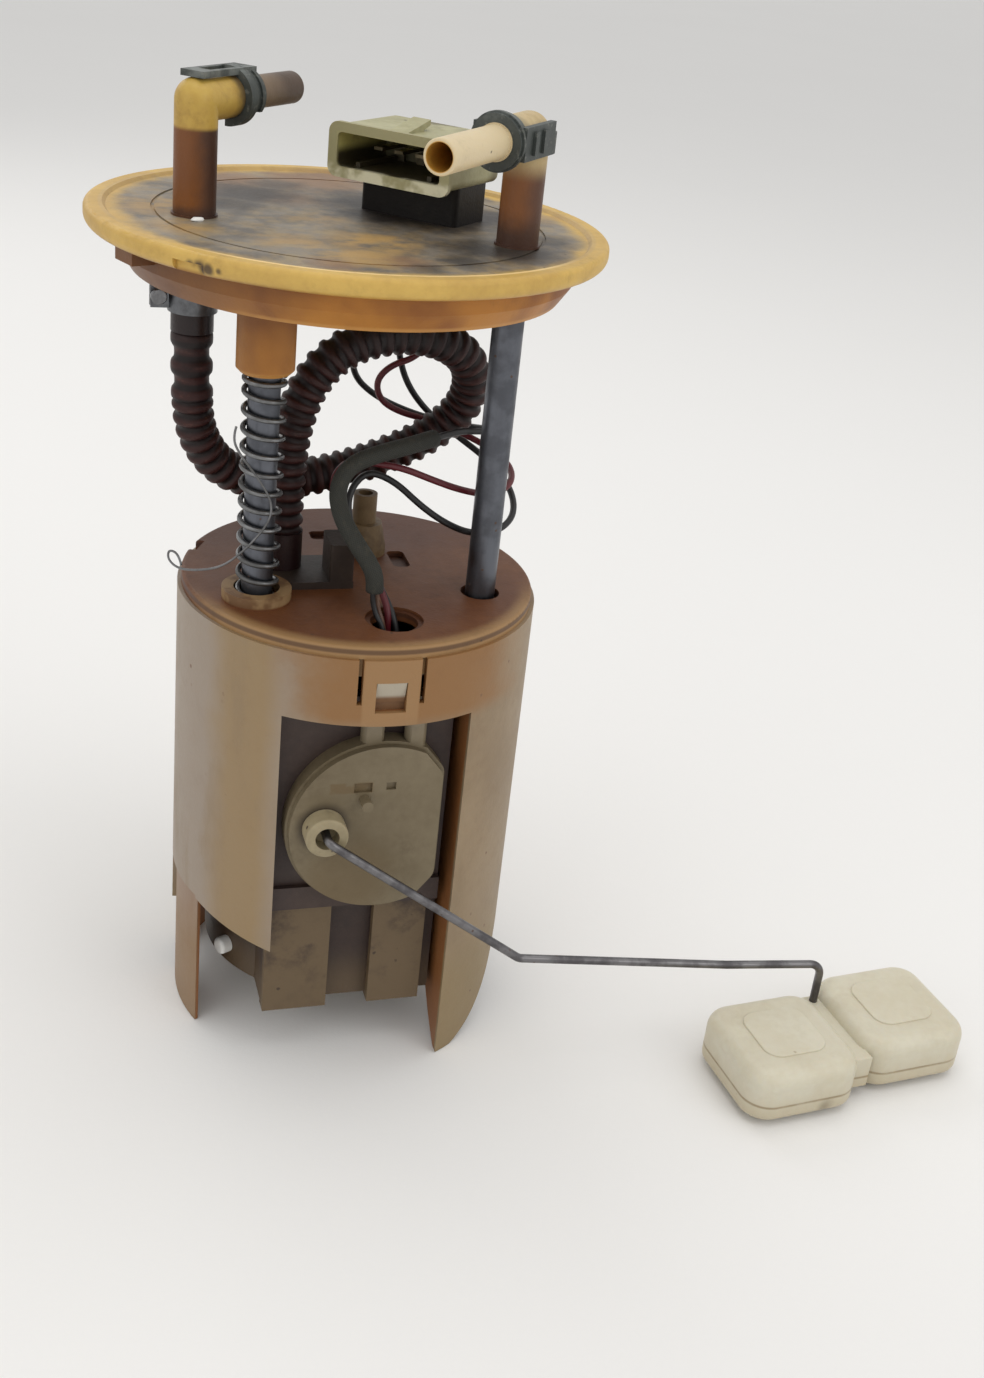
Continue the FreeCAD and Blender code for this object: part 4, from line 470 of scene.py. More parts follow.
@dataclass(frozen=True)
class Moulded:
    """Moulded plastic that has stood in fuel: mottled, stained, dusty and finely grained."""

    name: str
    base: Colour
    deep: Colour
    dirt: Colour = (0.05, 0.032, 0.02)
    soiling: float = 0.35
    speckle: float = 0.12
    roughness: float = 0.5
    relief: float = 0.00012
    glow: float = 0.0
    shine: float = 0.4
    seed: float = 0.0

    def paint(self, graph: Graph, tint: Tint) -> None:
        """Lays the stains that belong to particular places; plain plastic has none."""

    def material(self) -> bpy.types.Material:
        """Builds the material.

        Returns:
            The material.
        """
        graph = Graph(self.name)
        broad = graph.noise(38.0, self.seed, 4.0)
        fine = graph.noise(420.0, self.seed + 1.0, 4.0)
        mottle = (0.75 * broad + 0.25 * fine).ramp(0.32, 0.68)
        tint = Tint(graph, graph.mix(mottle, self.base, self.deep))
        self.paint(graph, tint)
        film = graph.noise(95.0, self.seed + 2.0, 6.0, rough=0.7)
        tint.lay(self.soiling * film.ramp(0.5, 0.74) * fine.ramp(0.35, 0.62), self.dirt)
        tint.lay(graph.specks(300.0, 0.2, self.speckle, self.seed), self.dirt)
        rub = graph.noise(1500.0, self.seed + 4.0, 2.0)
        gloss = (self.roughness - 0.14) + 0.22 * film + 0.1 * rub
        height = 0.5 * rub + 0.5 * fine
        values = {
            "Base Color": tint.colour,
            "Roughness": gloss,
            "Specular IOR Level": self.shine,
            "Subsurface Weight": self.glow,
        }
        if self.glow:
            values["Subsurface Radius"] = GLOW_DEPTH
            values["Subsurface Scale"] = 1.0
        return graph.surface(values, height, self.relief)


@dataclass(frozen=True)
class AmberCover(Moulded):
    """Cover plastic: worn yellow rim, sooted field with amber windows, orange skirt."""

    field_radius: float = 0.0605
    soot: Colour = (0.225, 0.195, 0.155)
    soot_dark: Colour = (0.13, 0.112, 0.092)
    skirt: Colour = (0.43, 0.175, 0.022)
    skirt_dark: Colour = (0.25, 0.085, 0.012)
    skirt_shade: Colour = (0.12, 0.05, 0.02)
    edge_pale: Colour = (0.52, 0.26, 0.07)
    window: Colour = (0.42, 0.26, 0.09)
    brown: Colour = (0.25, 0.135, 0.065)
    # Pale line at the field's edge: wear with painted highlight, dimmer away from the front.
    worn: Colour = (0.85, 0.62, 0.28)
    ring_highlight_back: Colour = (0.40, 0.28, 0.15)
    black: Colour = (0.028, 0.022, 0.019)
    rim_dirt: Colour = (0.06, 0.035, 0.02)
    under_rim: Span = (0.0012, -0.0006)
    skirt_end: Span = (-0.0098, -0.0086)
    boss_end: Span = (-0.0270, -0.0278)
    front_y: Span = (-0.035, -0.052)
    shade_x: Span = (-0.012, -0.052)
    ring_half: Span = (0.0013, 0.0006)
    ring_z: Span = (0.001, 0.003)
    # Black smudges; those under the socket stand for painted shadow with grime.
    smudge_and_shadow_places: tuple[Spot, ...] = (
        ((-0.022, 0.025, 0.004), 0.0130, 0.9),
        ((-0.012, 0.037, 0.004), 0.008, 0.7),
        ((-0.030, 0.012, 0.004), 0.0091, 0.8),
        ((0.006, 0.021, 0.004), 0.0117, 0.95),
        ((0.016, 0.006, 0.004), 0.0169, 1.0),
        ((0.030, 0.008, 0.004), 0.0143, 1.0),
        ((0.027, -0.030, 0.004), 0.0104, 0.95),
        ((0.036, -0.032, 0.004), 0.0104, 0.9),
        ((0.018, -0.041, 0.004), 0.006, 0.75),
        ((0.008, -0.050, 0.004), 0.004, 0.6),
        ((0.048, -0.017, 0.004), 0.006, 0.7),
    )
    amber_places: tuple[Spot, ...] = (
        ((0.001, -0.027, 0.004), 0.009, 0.95),
        ((-0.007, -0.041, 0.004), 0.008, 0.9),
        ((-0.020, -0.030, 0.004), 0.007, 0.7),
        ((-0.009, -0.003, 0.004), 0.006, 0.6),
        ((-0.047, 0.006, 0.004), 0.009, 0.8),
        ((-0.044, -0.018, 0.004), 0.007, 0.75),
        ((0.054, 0.012, 0.004), 0.008, 0.6),
    )
    brown_places: tuple[Spot, ...] = (
        ((-0.025, 0.040, 0.004), 0.012, 0.85),
        ((0.0, 0.048, 0.004), 0.014, 0.85),
        ((-0.012, 0.021, 0.004), 0.008, 0.6),
        ((-0.014, -0.049, 0.004), 0.006, 0.8),
        ((0.003, -0.045, 0.004), 0.006, 0.8),
    )
    rim_places: tuple[Spot, ...] = (
        ((-0.0453, -0.0465, 0.0022), 0.0011, 0.9),
        ((-0.0436, -0.0482, 0.0020), 0.0016, 1.0),
        ((-0.0418, -0.0497, 0.0020), 0.0012, 0.9),
        ((-0.0398, -0.0514, 0.0021), 0.0007, 0.8),
    )

    def paint(self, graph: Graph, tint: Tint) -> None:
        """Lays skirt, soot, amber windows and dirt of the rim.

        Args:
            graph: Graph of the material.
            tint: Colour to lay them on.
        """
        cloud = graph.noise(60.0, 5.0, 5.0)
        self._paint_skirt(graph, tint, cloud)
        self._paint_field(graph, tint, cloud)
        tint.lay(graph.spots(self.rim_places, 0.6, 7.0), self.rim_dirt)

    def _paint_skirt(self, graph: Graph, tint: Tint, cloud: Socket) -> None:
        """Lays the orange of skirt and bosses, its shaded left and its pale ends.

        Args:
            graph: Graph of the material.
            tint: Colour to lay it on.
            cloud: Pattern that breaks the edges.
        """
        height = graph.axis("Z")
        below = height.ramp(*self.under_rim)
        sweep = graph.noise(34.0, 6.0, 3.0).ramp(0.38, 0.64)
        tint.lay(below, graph.mix(sweep, self.skirt, self.skirt_dark))
        shaded = (graph.axis("X") + 0.02 * (cloud - 0.5)).ramp(*self.shade_x)
        tint.lay(0.8 * below * shaded, self.skirt_shade)
        lip = height.inside(*self.skirt_end, 0.0004)
        tint.lay(0.6 * lip * shaded.ramp(0.8, 0.2), self.edge_pale)
        tint.lay(0.6 * height.ramp(*self.boss_end), self.edge_pale)

    def _paint_field(self, graph: Graph, tint: Tint, cloud: Socket) -> None:
        """Lays soot, brown and amber patches, black smudges with painted shadow under the socket,
        and the worn edge of the field with painted highlight.

        Args:
            graph: Graph of the material.
            tint: Colour to lay them on.
            cloud: Pattern that breaks the edges.
        """
        height = graph.axis("Z")
        radius = graph.length(graph.axis("X"), graph.axis("Y"))
        field = radius.ramp(self.field_radius + 0.0004, self.field_radius - 0.0006)
        field = field * height.ramp(0.0, 0.002)
        sooty = graph.noise(70.0, 9.0, 6.0).ramp(0.42, 0.62)
        wavy = radius + 0.012 * (cloud - 0.5)
        edge = wavy.ramp(self.field_radius - 0.0005, self.field_radius - 0.006)
        thin = 0.8 + 0.2 * graph.noise(200.0, 8.0).ramp(0.35, 0.6)
        tint.lay(field * edge * thin, graph.mix(sooty, self.soot, self.soot_dark))
        patchy = graph.noise(150.0, 13.0, 5.0, (0.5, 1.0, 1.0)).ramp(0.36, 0.56)
        tint.lay(0.9 * field * graph.spots(self.brown_places, 0.7, 3.0), self.brown)
        tint.lay(field * graph.spots(self.amber_places, 0.7, 2.0) * patchy, self.window)
        # Black smudges; under the socket they are painted shadow with grime.
        tint.lay(field * graph.spots(self.smudge_and_shadow_places, 0.7, 4.0), self.black)
        # Pale worn line with painted highlight along the field's edge, painted over the groove,
        # brightest in front.
        front = graph.axis("Y").ramp(*self.front_y)
        ring = (radius - self.field_radius).size().ramp(*self.ring_half)
        ring = ring * height.ramp(*self.ring_z)
        worn = graph.mix(front, self.ring_highlight_back, self.worn)
        tint.lay(0.9 * ring * (0.35 + 0.65 * front), worn)


@dataclass(frozen=True)
class AmberPipe(Moulded):
    """Pipe plastic: dark upright with a shaded flank, pale bend, stained spigot, amber bore."""

    foot: Span = (0.0, 0.0)
    turn: float = 0.0
    edge: float = 0.0245
    edge_soft: float = 0.0006
    axis_z: float = 0.0305
    bore: float = 0.0031
    low: Colour = (0.21, 0.07, 0.012)
    upright: Colour = (0.18, 0.06, 0.012)
    flank: Colour = (0.038, 0.018, 0.014)
    sooty: Colour = (0.075, 0.052, 0.032)
    spigot: Colour = (0.17, 0.115, 0.07)
    tip: Colour = (0.075, 0.045, 0.028)
    bore_tint: Colour = (0.10, 0.06, 0.03)
    low_z: Span = (0.007, 0.014)
    foot_z: Span = (0.0075, 0.005)
    flank_x: Span = (-0.0025, 0.0035)
    neck_reach: Span = (0.0085, 0.0125)
    spigot_reach: Span = (0.0150, 0.0165)
    tip_reach: Span = (0.026, 0.036)

    def paint(self, graph: Graph, tint: Tint) -> None:
        """Lays the upright, the neck by the retainer, the spigot and its bore.

        Args:
            graph: Graph of the material.
            tint: Colour to lay them on.
        """
        angle = math.radians(self.turn)
        cloud = graph.noise(120.0, 21.0 + self.seed, 5.0) - 0.5
        height = graph.axis("Z")
        reach = graph.along((*self.foot, 0.0), (math.cos(angle), math.sin(angle), 0.0))
        across = graph.along((*self.foot, 0.0), (-math.sin(angle), math.cos(angle), 0.0))
        east = graph.axis("X") - self.foot[0] + 0.004 * cloud
        column = graph.mix((height + 0.008 * cloud).ramp(*self.low_z), self.low, self.upright)
        column = graph.mix(0.85 * east.ramp(*self.flank_x), column, self.flank)
        column = graph.mix(0.7 * (height + 0.004 * cloud).ramp(*self.foot_z), column, self.flank)
        tint.lay(height.ramp(self.edge + self.edge_soft, self.edge - self.edge_soft), column)
        tint.lay(0.85 * (reach + 0.005 * cloud).ramp(*self.neck_reach), self.sooty)
        tube = reach.ramp(*self.spigot_reach)
        spigot = graph.mix((reach + 0.008 * cloud).ramp(*self.tip_reach), self.spigot, self.tip)
        tint.lay(tube, spigot)
        away = graph.length(across, height - self.axis_z)
        tint.lay(tube * away.ramp(self.bore + 0.0003, self.bore), self.bore_tint)


@dataclass(frozen=True)
class OliveSocket(Moulded):
    """Socket plastic: pale worn outside; inside, painted light on the upper wall and painted shadow
    with dirt below.
    """

    centre: Point = (0.0205, 0.0088, 0.0199)
    turn: float = 226.0
    half_width: float = 0.0149
    half_height: float = 0.0042
    inner_back: float = -0.0045
    frame_out: Span = (0.0150, 0.0178)
    mouth_out: Span = (0.0196, 0.0178)
    lip_out: Span = (0.0165, 0.0185)
    back_out: Span = (-0.001, -0.007)
    roof_z: Span = (0.0212, 0.0184)
    lip_z: Span = (0.0172, 0.0152)
    frame: Colour = (0.34, 0.315, 0.17)
    # Painted light of the inside's upper wall, and its painted shadow with dirt below.
    inside_lit_top: Colour = (0.56, 0.51, 0.18)
    inside_shadow_and_dirt: Colour = (0.035, 0.028, 0.013)
    lip: Colour = (0.66, 0.63, 0.45)
    back: Colour = (0.16, 0.14, 0.08)

    def paint(self, graph: Graph, tint: Tint) -> None:
        """Lays the frame, the inside's painted light and painted shadow with dirt, the pale lower
        lip and the grey back.

        Args:
            graph: Graph of the material.
            tint: Colour to lay them on.
        """
        angle = math.radians(self.turn)
        out = graph.along(self.centre, (math.cos(angle), math.sin(angle), 0.0))
        side = graph.along(self.centre, (-math.sin(angle), math.cos(angle), 0.0)).size()
        height = graph.axis("Z")
        rise = (height - self.centre[2]).size()
        hollow = side.ramp(self.half_width + 0.0003, self.half_width - 0.0001)
        hollow = hollow * rise.ramp(self.half_height + 0.0003, self.half_height - 0.0001)
        hollow = hollow * out.ramp(self.inner_back - 0.0004, self.inner_back + 0.0004)
        # Inside the hollow: painted light on the upper wall, painted shadow with dirt towards the
        # floor.
        inside_light_and_shadow = graph.mix(height.ramp(*self.roof_z), self.inside_lit_top, self.inside_shadow_and_dirt)
        tint.lay(out.ramp(*self.frame_out), self.frame)
        tint.lay(hollow * out.ramp(*self.mouth_out), inside_light_and_shadow)
        lip = out.ramp(*self.lip_out) * height.ramp(*self.lip_z)
        tint.lay(lip * graph.noise(150.0, 31.0).ramp(0.35, 0.55), self.lip)
        back = out.ramp(*self.back_out) * graph.noise(90.0, 33.0).ramp(0.4, 0.62)
        tint.lay(back, self.back)


@dataclass(frozen=True)
class WornRetainer(Moulded):
    """Retainer plastic: grey green, dusty, rubbed pale on its high faces."""

    rubbed: Colour = (0.17, 0.185, 0.175)
    dust: Colour = (0.22, 0.225, 0.2)
    high_z: Span = (0.033, 0.0385)

    def paint(self, graph: Graph, tint: Tint) -> None:
        """Lays the rubbed top and dust.

        Args:
            graph: Graph of the material.
            tint: Colour to lay them on.
        """
        top = graph.axis("Z").ramp(*self.high_z)
        tint.lay(top * graph.noise(260.0, 41.0, 5.0).ramp(0.38, 0.6), self.rubbed)
        tint.lay(0.5 * graph.noise(520.0, 42.0, 5.0).ramp(0.56, 0.7), self.dust)


@dataclass(frozen=True)
class StainedShell(Moulded):
    """Shell plastic: tan, greyer on the left, orange band in front, brown inside."""

    band_low: float = -0.110
    inner_radius: float = 0.0464
    band: Colour = (0.26, 0.125, 0.04)
    left: Colour = (0.31, 0.25, 0.195)
    window_left: float = -0.0269
    edge_tan_and_shade: Colour = (0.29, 0.19, 0.08)
    inside: Colour = (0.24, 0.095, 0.03)
    fin: Colour = (0.25, 0.18, 0.085)
    tab: Colour = (0.34, 0.20, 0.09)
    speck: Colour = (0.14, 0.07, 0.04)
    tab_x: float = 0.0056
    tab_half: Span = (0.0078, 0.0068)
    tab_y: Span = (-0.02, -0.04)
    left_x: Span = (-0.004, -0.034)
    strip_x: Span = (-0.008, 0.004)
    front_x: Span = (-0.018, 0.036)
    fin_z: Span = (-0.176, -0.2)

    def paint(self, graph: Graph, tint: Tint) -> None:
        """Lays the sides, the painted shade of the strip by the window, the band, the inner wall
        and the specks.

        Args:
            graph: Graph of the material.
            tint: Colour to lay them on.
        """
        cloud = graph.noise(45.0, 51.0, 4.0) - 0.5
        across = graph.axis("X") + 0.03 * cloud
        tint.lay(across.ramp(*self.left_x), self.left)
        # Orange-tan strip beside the window's left edge, darkened as painted shade of the shell's
        # folded edge.
        beside = graph.axis("X") - self.window_left + 0.006 * cloud
        tint.lay(0.75 * beside.inside(*self.strip_x, 0.003), self.edge_tan_and_shade)
        height = graph.axis("Z")
        streaks = graph.noise(70.0, 52.0, 5.0, (1.0, 1.0, 0.3))
        tint.lay(0.5 * streaks.ramp(0.52, 0.7), self.deep)
        tint.lay(0.7 * (height + 0.01 * cloud).ramp(*self.fin_z), self.fin)
        band = (height + 0.004 * cloud).ramp(self.band_low - 0.003, self.band_low + 0.003)
        tint.lay(0.9 * band * across.inside(*self.front_x, 0.012), self.band)
        tab = band * (graph.axis("X") - self.tab_x).size().ramp(*self.tab_half)
        tint.lay(0.6 * tab * graph.axis("Y").ramp(*self.tab_y), self.tab)
        east = graph.axis("X") - RESERVOIR_AXIS[0]
        north = graph.axis("Y") - RESERVOIR_AXIS[1]
        radius = graph.length(east, north)
        tint.lay(radius.ramp(self.inner_radius + 0.0012, self.inner_radius + 0.0002), self.inside)
        tint.lay(0.8 * graph.specks(190.0, 0.12, 0.1, 53.0), self.speck)


@dataclass(frozen=True)
class ShadeDarkenedPot(Moulded):
    """Pot plastic: brown purple walls darkened with painted shade, with paler pilasters."""

    front: float = -0.0398
    pilaster: Colour = (0.13, 0.088, 0.046)
    foot_z: Span = (-0.188, -0.203)

    def paint(self, graph: Graph, tint: Tint) -> None:
        """Lays the pilasters and the pale foot.

        Args:
            graph: Graph of the material.
            tint: Colour to lay them on.
        """
        proud = graph.axis("Y").ramp(self.front - 0.0006, self.front - 0.0014)
        tint.lay(proud * graph.noise(80.0, 61.0, 5.0).ramp(0.25, 0.5), self.pilaster)
        tint.lay(0.6 * graph.axis("Z").ramp(*self.foot_z), self.pilaster)


@dataclass(frozen=True)
class BakedCap(Moulded):
    """Cap plastic: red brown, darker behind, with a paler front edge, collar and snap lug."""

    top: float = -0.0884
    collar: Point = (-0.0238, -0.0227, -0.0864)
    rim_reach: Span = (0.0425, 0.0465)
    front_y: Span = (-0.012, -0.036)
    back_y: Span = (-0.006, 0.022)
    collar_reach: Span = (0.0102, 0.0094)
    lug_z: Span = (-0.0965, -0.0975)
    lug_low_z: Span = (-0.1015, -0.1030)
    lug_y: Span = (-0.050, -0.052)
    edge: Colour = (0.36, 0.215, 0.09)
    back: Colour = (0.085, 0.028, 0.013)
    pocket: Colour = (0.05, 0.018, 0.01)
    collar_pale: Colour = (0.30, 0.19, 0.09)
    collar_dark: Colour = (0.17, 0.09, 0.04)
    lug: Colour = (0.42, 0.37, 0.29)
    lug_low: Colour = (0.18, 0.09, 0.04)

    def paint(self, graph: Graph, tint: Tint) -> None:
        """Lays the front edge, the dark back, the pockets' floors, the collar and the snap lug.

        Args:
            graph: Graph of the material.
            tint: Colour to lay them on.
        """
        height = graph.axis("Z")
        back = graph.axis("Y") + 0.03 * (graph.noise(55.0, 71.0, 4.0) - 0.5)
        rim = graph.distance((*RESERVOIR_AXIS, self.top)).ramp(*self.rim_reach)
        tint.lay(0.85 * rim * graph.axis("Y").ramp(*self.front_y), self.edge)
        tint.lay(0.85 * back.ramp(*self.back_y), self.back)
        sunk = height.inside(self.top - 0.0020, self.top - 0.0007, 0.0003)
        tint.lay(0.7 * sunk, self.pocket)
        collar = graph.distance(self.collar).ramp(*self.collar_reach)
        worn = graph.noise(160.0, 73.0).ramp(0.4, 0.6)
        tint.lay(
            collar * height.ramp(self.top, self.top + 0.0008),
            graph.mix(worn, self.collar_pale, self.collar_dark),
        )
        lug = height.ramp(*self.lug_z) * graph.axis("Y").ramp(*self.lug_y)
        tint.lay(lug, graph.mix(height.ramp(*self.lug_low_z), self.lug, self.lug_low))


@dataclass(frozen=True)
class FloatSkin(Moulded):
    """Float plastic: satin ivory with brown dirt in the weld seam and at the lobes' joint."""

    seam_z: float = -0.2152
    panel_top: float = -0.2040
    side_z: Span = (-0.209, -0.2195)
    seam_half: Span = (0.0006, 0.0002)
    ledge_z: Span = (-0.0009, -0.0001)
    seam: Colour = (0.24, 0.16, 0.08)
    panel: Colour = (0.40, 0.33, 0.22)
    side: Colour = (0.42, 0.33, 0.19)
    grime: Colour = (0.13, 0.085, 0.045)
    speck: Colour = (0.38, 0.30, 0.19)
    dirt_places: tuple[Spot, ...] = (
        ((0.1460, -0.0850, -0.2165), 0.0026, 0.9),
        ((0.1515, -0.0846, -0.2150), 0.0016, 0.9),
        ((0.1565, -0.0850, -0.2150), 0.0022, 0.8),
        ((0.1315, -0.0945, -0.2180), 0.0022, 0.6),
    )

    def paint(self, graph: Graph, tint: Tint) -> None:
        """Lays the dirt of the seam and the panels' edges, the shaded sides, grime and specks.

        Args:
            graph: Graph of the material.
            tint: Colour to lay them on.
        """
        height = graph.axis("Z")
        seam = (height - self.seam_z).size().ramp(*self.seam_half)
        tint.lay(0.7 * seam * graph.noise(70.0, 81.0, 4.0).ramp(0.25, 0.5), self.seam)
        ledge = (height - self.panel_top).inside(*self.ledge_z, 0.00025)
        tint.lay(0.12 * ledge * graph.noise(90.0, 82.0).ramp(0.4, 0.6), self.panel)
        tint.lay(0.45 * height.ramp(*self.side_z), self.side)
        tint.lay(graph.spots(self.dirt_places, 0.7, 85.0), self.grime)
        tint.lay(0.7 * graph.specks(90.0, 0.09, 0.12, 83.0), self.speck)


@dataclass(frozen=True)
class DialFace(Moulded):
    """Dial and hub plastic: greyed ivory with a dirty ring round the hub."""

    hub: Point = (-0.0084, -0.0520, -0.1428)
    ring: Span = (0.0056, 0.0085)
    post: Point = (-0.0042, -0.0535, -0.1350)
    low_brown: Point = (-0.0010, -0.0500, -0.1600)
    mark_z: Span = (-0.1329, -0.1298)
    mark_x: Span = (-0.0073, 0.0042)
    top_z: Span = (-0.122, -0.112)
    low_reach: Span = (0.016, 0.006)
    post_reach: Span = (0.0034, 0.0026)
    brown: Colour = (0.13, 0.088, 0.038)
    ring_dirt: Colour = (0.05, 0.037, 0.026)
    top: Colour = (0.29, 0.24, 0.17)
    mark: Colour = (0.13, 0.08, 0.03)
    post_pale: Colour = (0.46, 0.39, 0.24)

    def paint(self, graph: Graph, tint: Tint) -> None:
        """Lays the brown foot, the ring of dirt, the paler top, the recesses and the post.

        Args:
            graph: Graph of the material.
            tint: Colour to lay them on.
        """
        height = graph.axis("Z")
        away = graph.distance(self.hub, 0.0016, 91.0)
        low = graph.distance(self.low_brown, 0.006, 94.0)
        tint.lay(0.6 * low.ramp(*self.low_reach), self.brown)
        tint.lay(0.85 * away.ramp(self.ring[1], self.ring[0]), self.ring_dirt)
        tint.lay(0.5 * height.ramp(*self.top_z), self.top)
        marks = height.inside(*self.mark_z, 0.0003) * graph.axis("X").inside(*self.mark_x, 0.0004)
        tint.lay(0.6 * marks * graph.noise(240.0, 92.0).ramp(0.35, 0.55), self.mark)
        tint.lay(graph.distance(self.post).ramp(*self.post_reach), self.post_pale)


@dataclass(frozen=True)
class Steel:
    """Drawn or rolled steel: fine lines along the metal, dull film and rust specks."""

    name: str
    base: Colour
    film: Colour
    roughness: float = 0.34
    spots: float = 0.2
    stretch: Point = (1.0, 1.0, 0.08)
    rust: Colour = (0.09, 0.055, 0.04)
    relief: float = 0.00004
    metallic: float = 1.0
    seed: float = 0.0

    def material(self) -> bpy.types.Material:
        """Builds the material.

        Returns:
            The material.
        """
        graph = Graph(self.name)
        lines = graph.noise(1400.0, self.seed, 3.0, self.stretch)
        cloud = graph.noise(130.0, self.seed + 1.0, 5.0)
        tint = Tint(graph, graph.mix(cloud.ramp(0.4, 0.64), self.base, self.film))
        marks = graph.specks(420.0, 0.2, self.spots, self.seed + 2.0)
        tint.lay(marks, self.rust)
        tint.lay(0.3 * lines.ramp(0.5, 0.7), self.film)
        gloss = self.roughness + 0.2 * cloud.ramp(0.4, 0.7) + 0.12 * (lines - 0.5) + 0.25 * marks
        metal = self.metallic * (1.0 - 0.8 * marks)
        values = {"Base Color": tint.colour, "Roughness": gloss, "Metallic": metal}
        return graph.surface(values, lines + 0.6 * marks, self.relief)


@dataclass(frozen=True)
class Insulation:
    """Soft insulation of a wire: satin, scuffed, with pale dust."""

    name: str
    base: Colour
    scuffed: Colour
    roughness: float = 0.36

    def material(self) -> bpy.types.Material:
        """Builds the material.

        Returns:
            The material.
        """
        graph = Graph(self.name)
        cloud = graph.noise(260.0, 1.0, 4.0)
        fine = graph.noise(2600.0, 2.0, 3.0)
        tint = Tint(graph, graph.mix(cloud.ramp(0.45, 0.7), self.base, self.scuffed))
        tint.lay(0.35 * fine.ramp(0.55, 0.7), self.scuffed)
        gloss = self.roughness + 0.18 * cloud.ramp(0.4, 0.7) + 0.08 * fine
        return graph.surface({"Base Color": tint.colour, "Roughness": gloss}, fine, 0.00003)


@dataclass(frozen=True)
class WovenSleeve:
    """Braided sleeve: two sets of slanted threads on the tube's own map."""

    name: str = "woven_sleeve"
    thread: Colour = (0.032, 0.033, 0.026)
    gap: Colour = (0.016, 0.016, 0.013)
    turns: float = 22.0
    pitch: float = 0.0007
    dust: Colour = (0.055, 0.05, 0.036)

    def material(self) -> bpy.types.Material:
        """Builds the material.

        Returns:
            The material.
        """
        graph = Graph(self.name)
        lay = graph.node("ShaderNodeUVMap", {"uv_map": LAY_MAP})
        parts = graph.node("ShaderNodeSeparateXYZ", {}, {0: lay})
        around = parts * (self.turns * FULL_TURN)
        ahead = parts.other("Y") * (FULL_TURN / self.pitch)
        one = 0.5 + 0.5 * (around + ahead).sine()
        two = 0.5 + 0.5 * (around - ahead).sine()
        weave = one.most(two)
        tint = Tint(graph, graph.mix(weave.ramp(0.35, 0.8), self.gap, self.thread))
        tint.lay(0.5 * graph.noise(350.0, 3.0, 4.0).ramp(0.56, 0.72), self.dust)
        gloss = 0.72 + 0.15 * graph.noise(900.0, 4.0)
        return graph.surface({"Base Color": tint.colour, "Roughness": gloss}, weave, 0.00008)


@dataclass(frozen=True)
class HosePlastic:
    """Hose plastic: red brown crests, nearly black grooves, oily film, darker towards its top."""

    name: str = "hose_plastic_worn"
    crest: Colour = (0.034, 0.009, 0.0075)
    groove: Colour = (0.008, 0.003, 0.003)
    pitch: float = 0.0036
    film: Colour = (0.015, 0.006, 0.0055)
    wear: Colour = (0.062, 0.021, 0.016)
    top: Colour = (0.016, 0.012, 0.012)
    top_z: Span = (-0.034, -0.022)

    def material(self) -> bpy.types.Material:
        """Builds the material.

        Returns:
            The material.
        """
        graph = Graph(self.name)
        lay = graph.node("ShaderNodeUVMap", {"uv_map": LAY_MAP})
        run = graph.node("ShaderNodeSeparateXYZ", {}, {0: lay}).other("Y")
        wave = 0.5 + 0.5 * (run * (FULL_TURN / self.pitch)).sine()
        cloud = graph.noise(110.0, 1.0, 5.0)
        tint = Tint(graph, graph.mix(wave.ramp(0.1, 0.75), self.groove, self.crest))
        tint.lay(0.8 * cloud.ramp(0.52, 0.68), self.film)
        tint.lay(wave.ramp(0.75, 1.0) * graph.noise(300.0, 2.0, 4.0).ramp(0.5, 0.66), self.wear)
        tint.lay(0.7 * graph.axis("Z").ramp(*self.top_z), self.top)
        fine = graph.noise(1700.0, 5.0, 3.0)
        gloss = 0.3 + 0.28 * cloud + 0.12 * fine
        values = {"Base Color": tint.colour, "Roughness": gloss, "Specular IOR Level": 0.3}
        return graph.surface(values, fine, 0.00004)


@dataclass(frozen=True)
class FilterMesh:
    """Fine square mesh of the filter sock."""

    name: str = "filter_mesh"
    thread: Colour = (0.46, 0.43, 0.36)
    gap: Colour = (0.13, 0.115, 0.09)
    pitch: float = 0.0009
    stain: Colour = (0.24, 0.17, 0.1)

    def material(self) -> bpy.types.Material:
        """Builds the material.

        Returns:
            The material.
        """
        graph = Graph(self.name)
        turn = FULL_TURN / self.pitch
        warp = 0.5 + 0.5 * (graph.axis("X") * turn).sine()
        weft = 0.5 + 0.5 * (graph.axis("Y") * turn).sine()
        weave = warp.most(weft)
        tint = Tint(graph, graph.mix(weave.ramp(0.4, 0.85), self.gap, self.thread))
        tint.lay(graph.noise(60.0, 3.0, 4.0).ramp(0.5, 0.7), self.stain)
        gloss = 0.75 + 0.1 * graph.noise(500.0, 2.0)
        return graph.surface({"Base Color": tint.colour, "Roughness": gloss}, weave, 0.00015)


@dataclass(frozen=True)
class StudioFloor:
    """Pale paper floor with a faint fibre."""

    name: str = "studio_floor"
    base: Colour = (0.86, 0.855, 0.845)
    shade: Colour = (0.83, 0.825, 0.815)

    def material(self) -> bpy.types.Material:
        """Builds the material.

        Returns:
            The material.
        """
        graph = Graph(self.name)
        cloud = graph.noise(3.0, 1.0, 3.0)
        fibre = graph.noise(700.0, 2.0, 3.0)
        colour = graph.mix(0.6 * cloud + 0.2 * fibre, self.base, self.shade)
        return graph.surface({"Base Color": colour, "Roughness": 0.8 + 0.1 * fibre}, fibre, 0.00005)


Finish = (
    Moulded | Steel | Insulation | WovenSleeve | HosePlastic | FilterMesh | StudioFloor
)

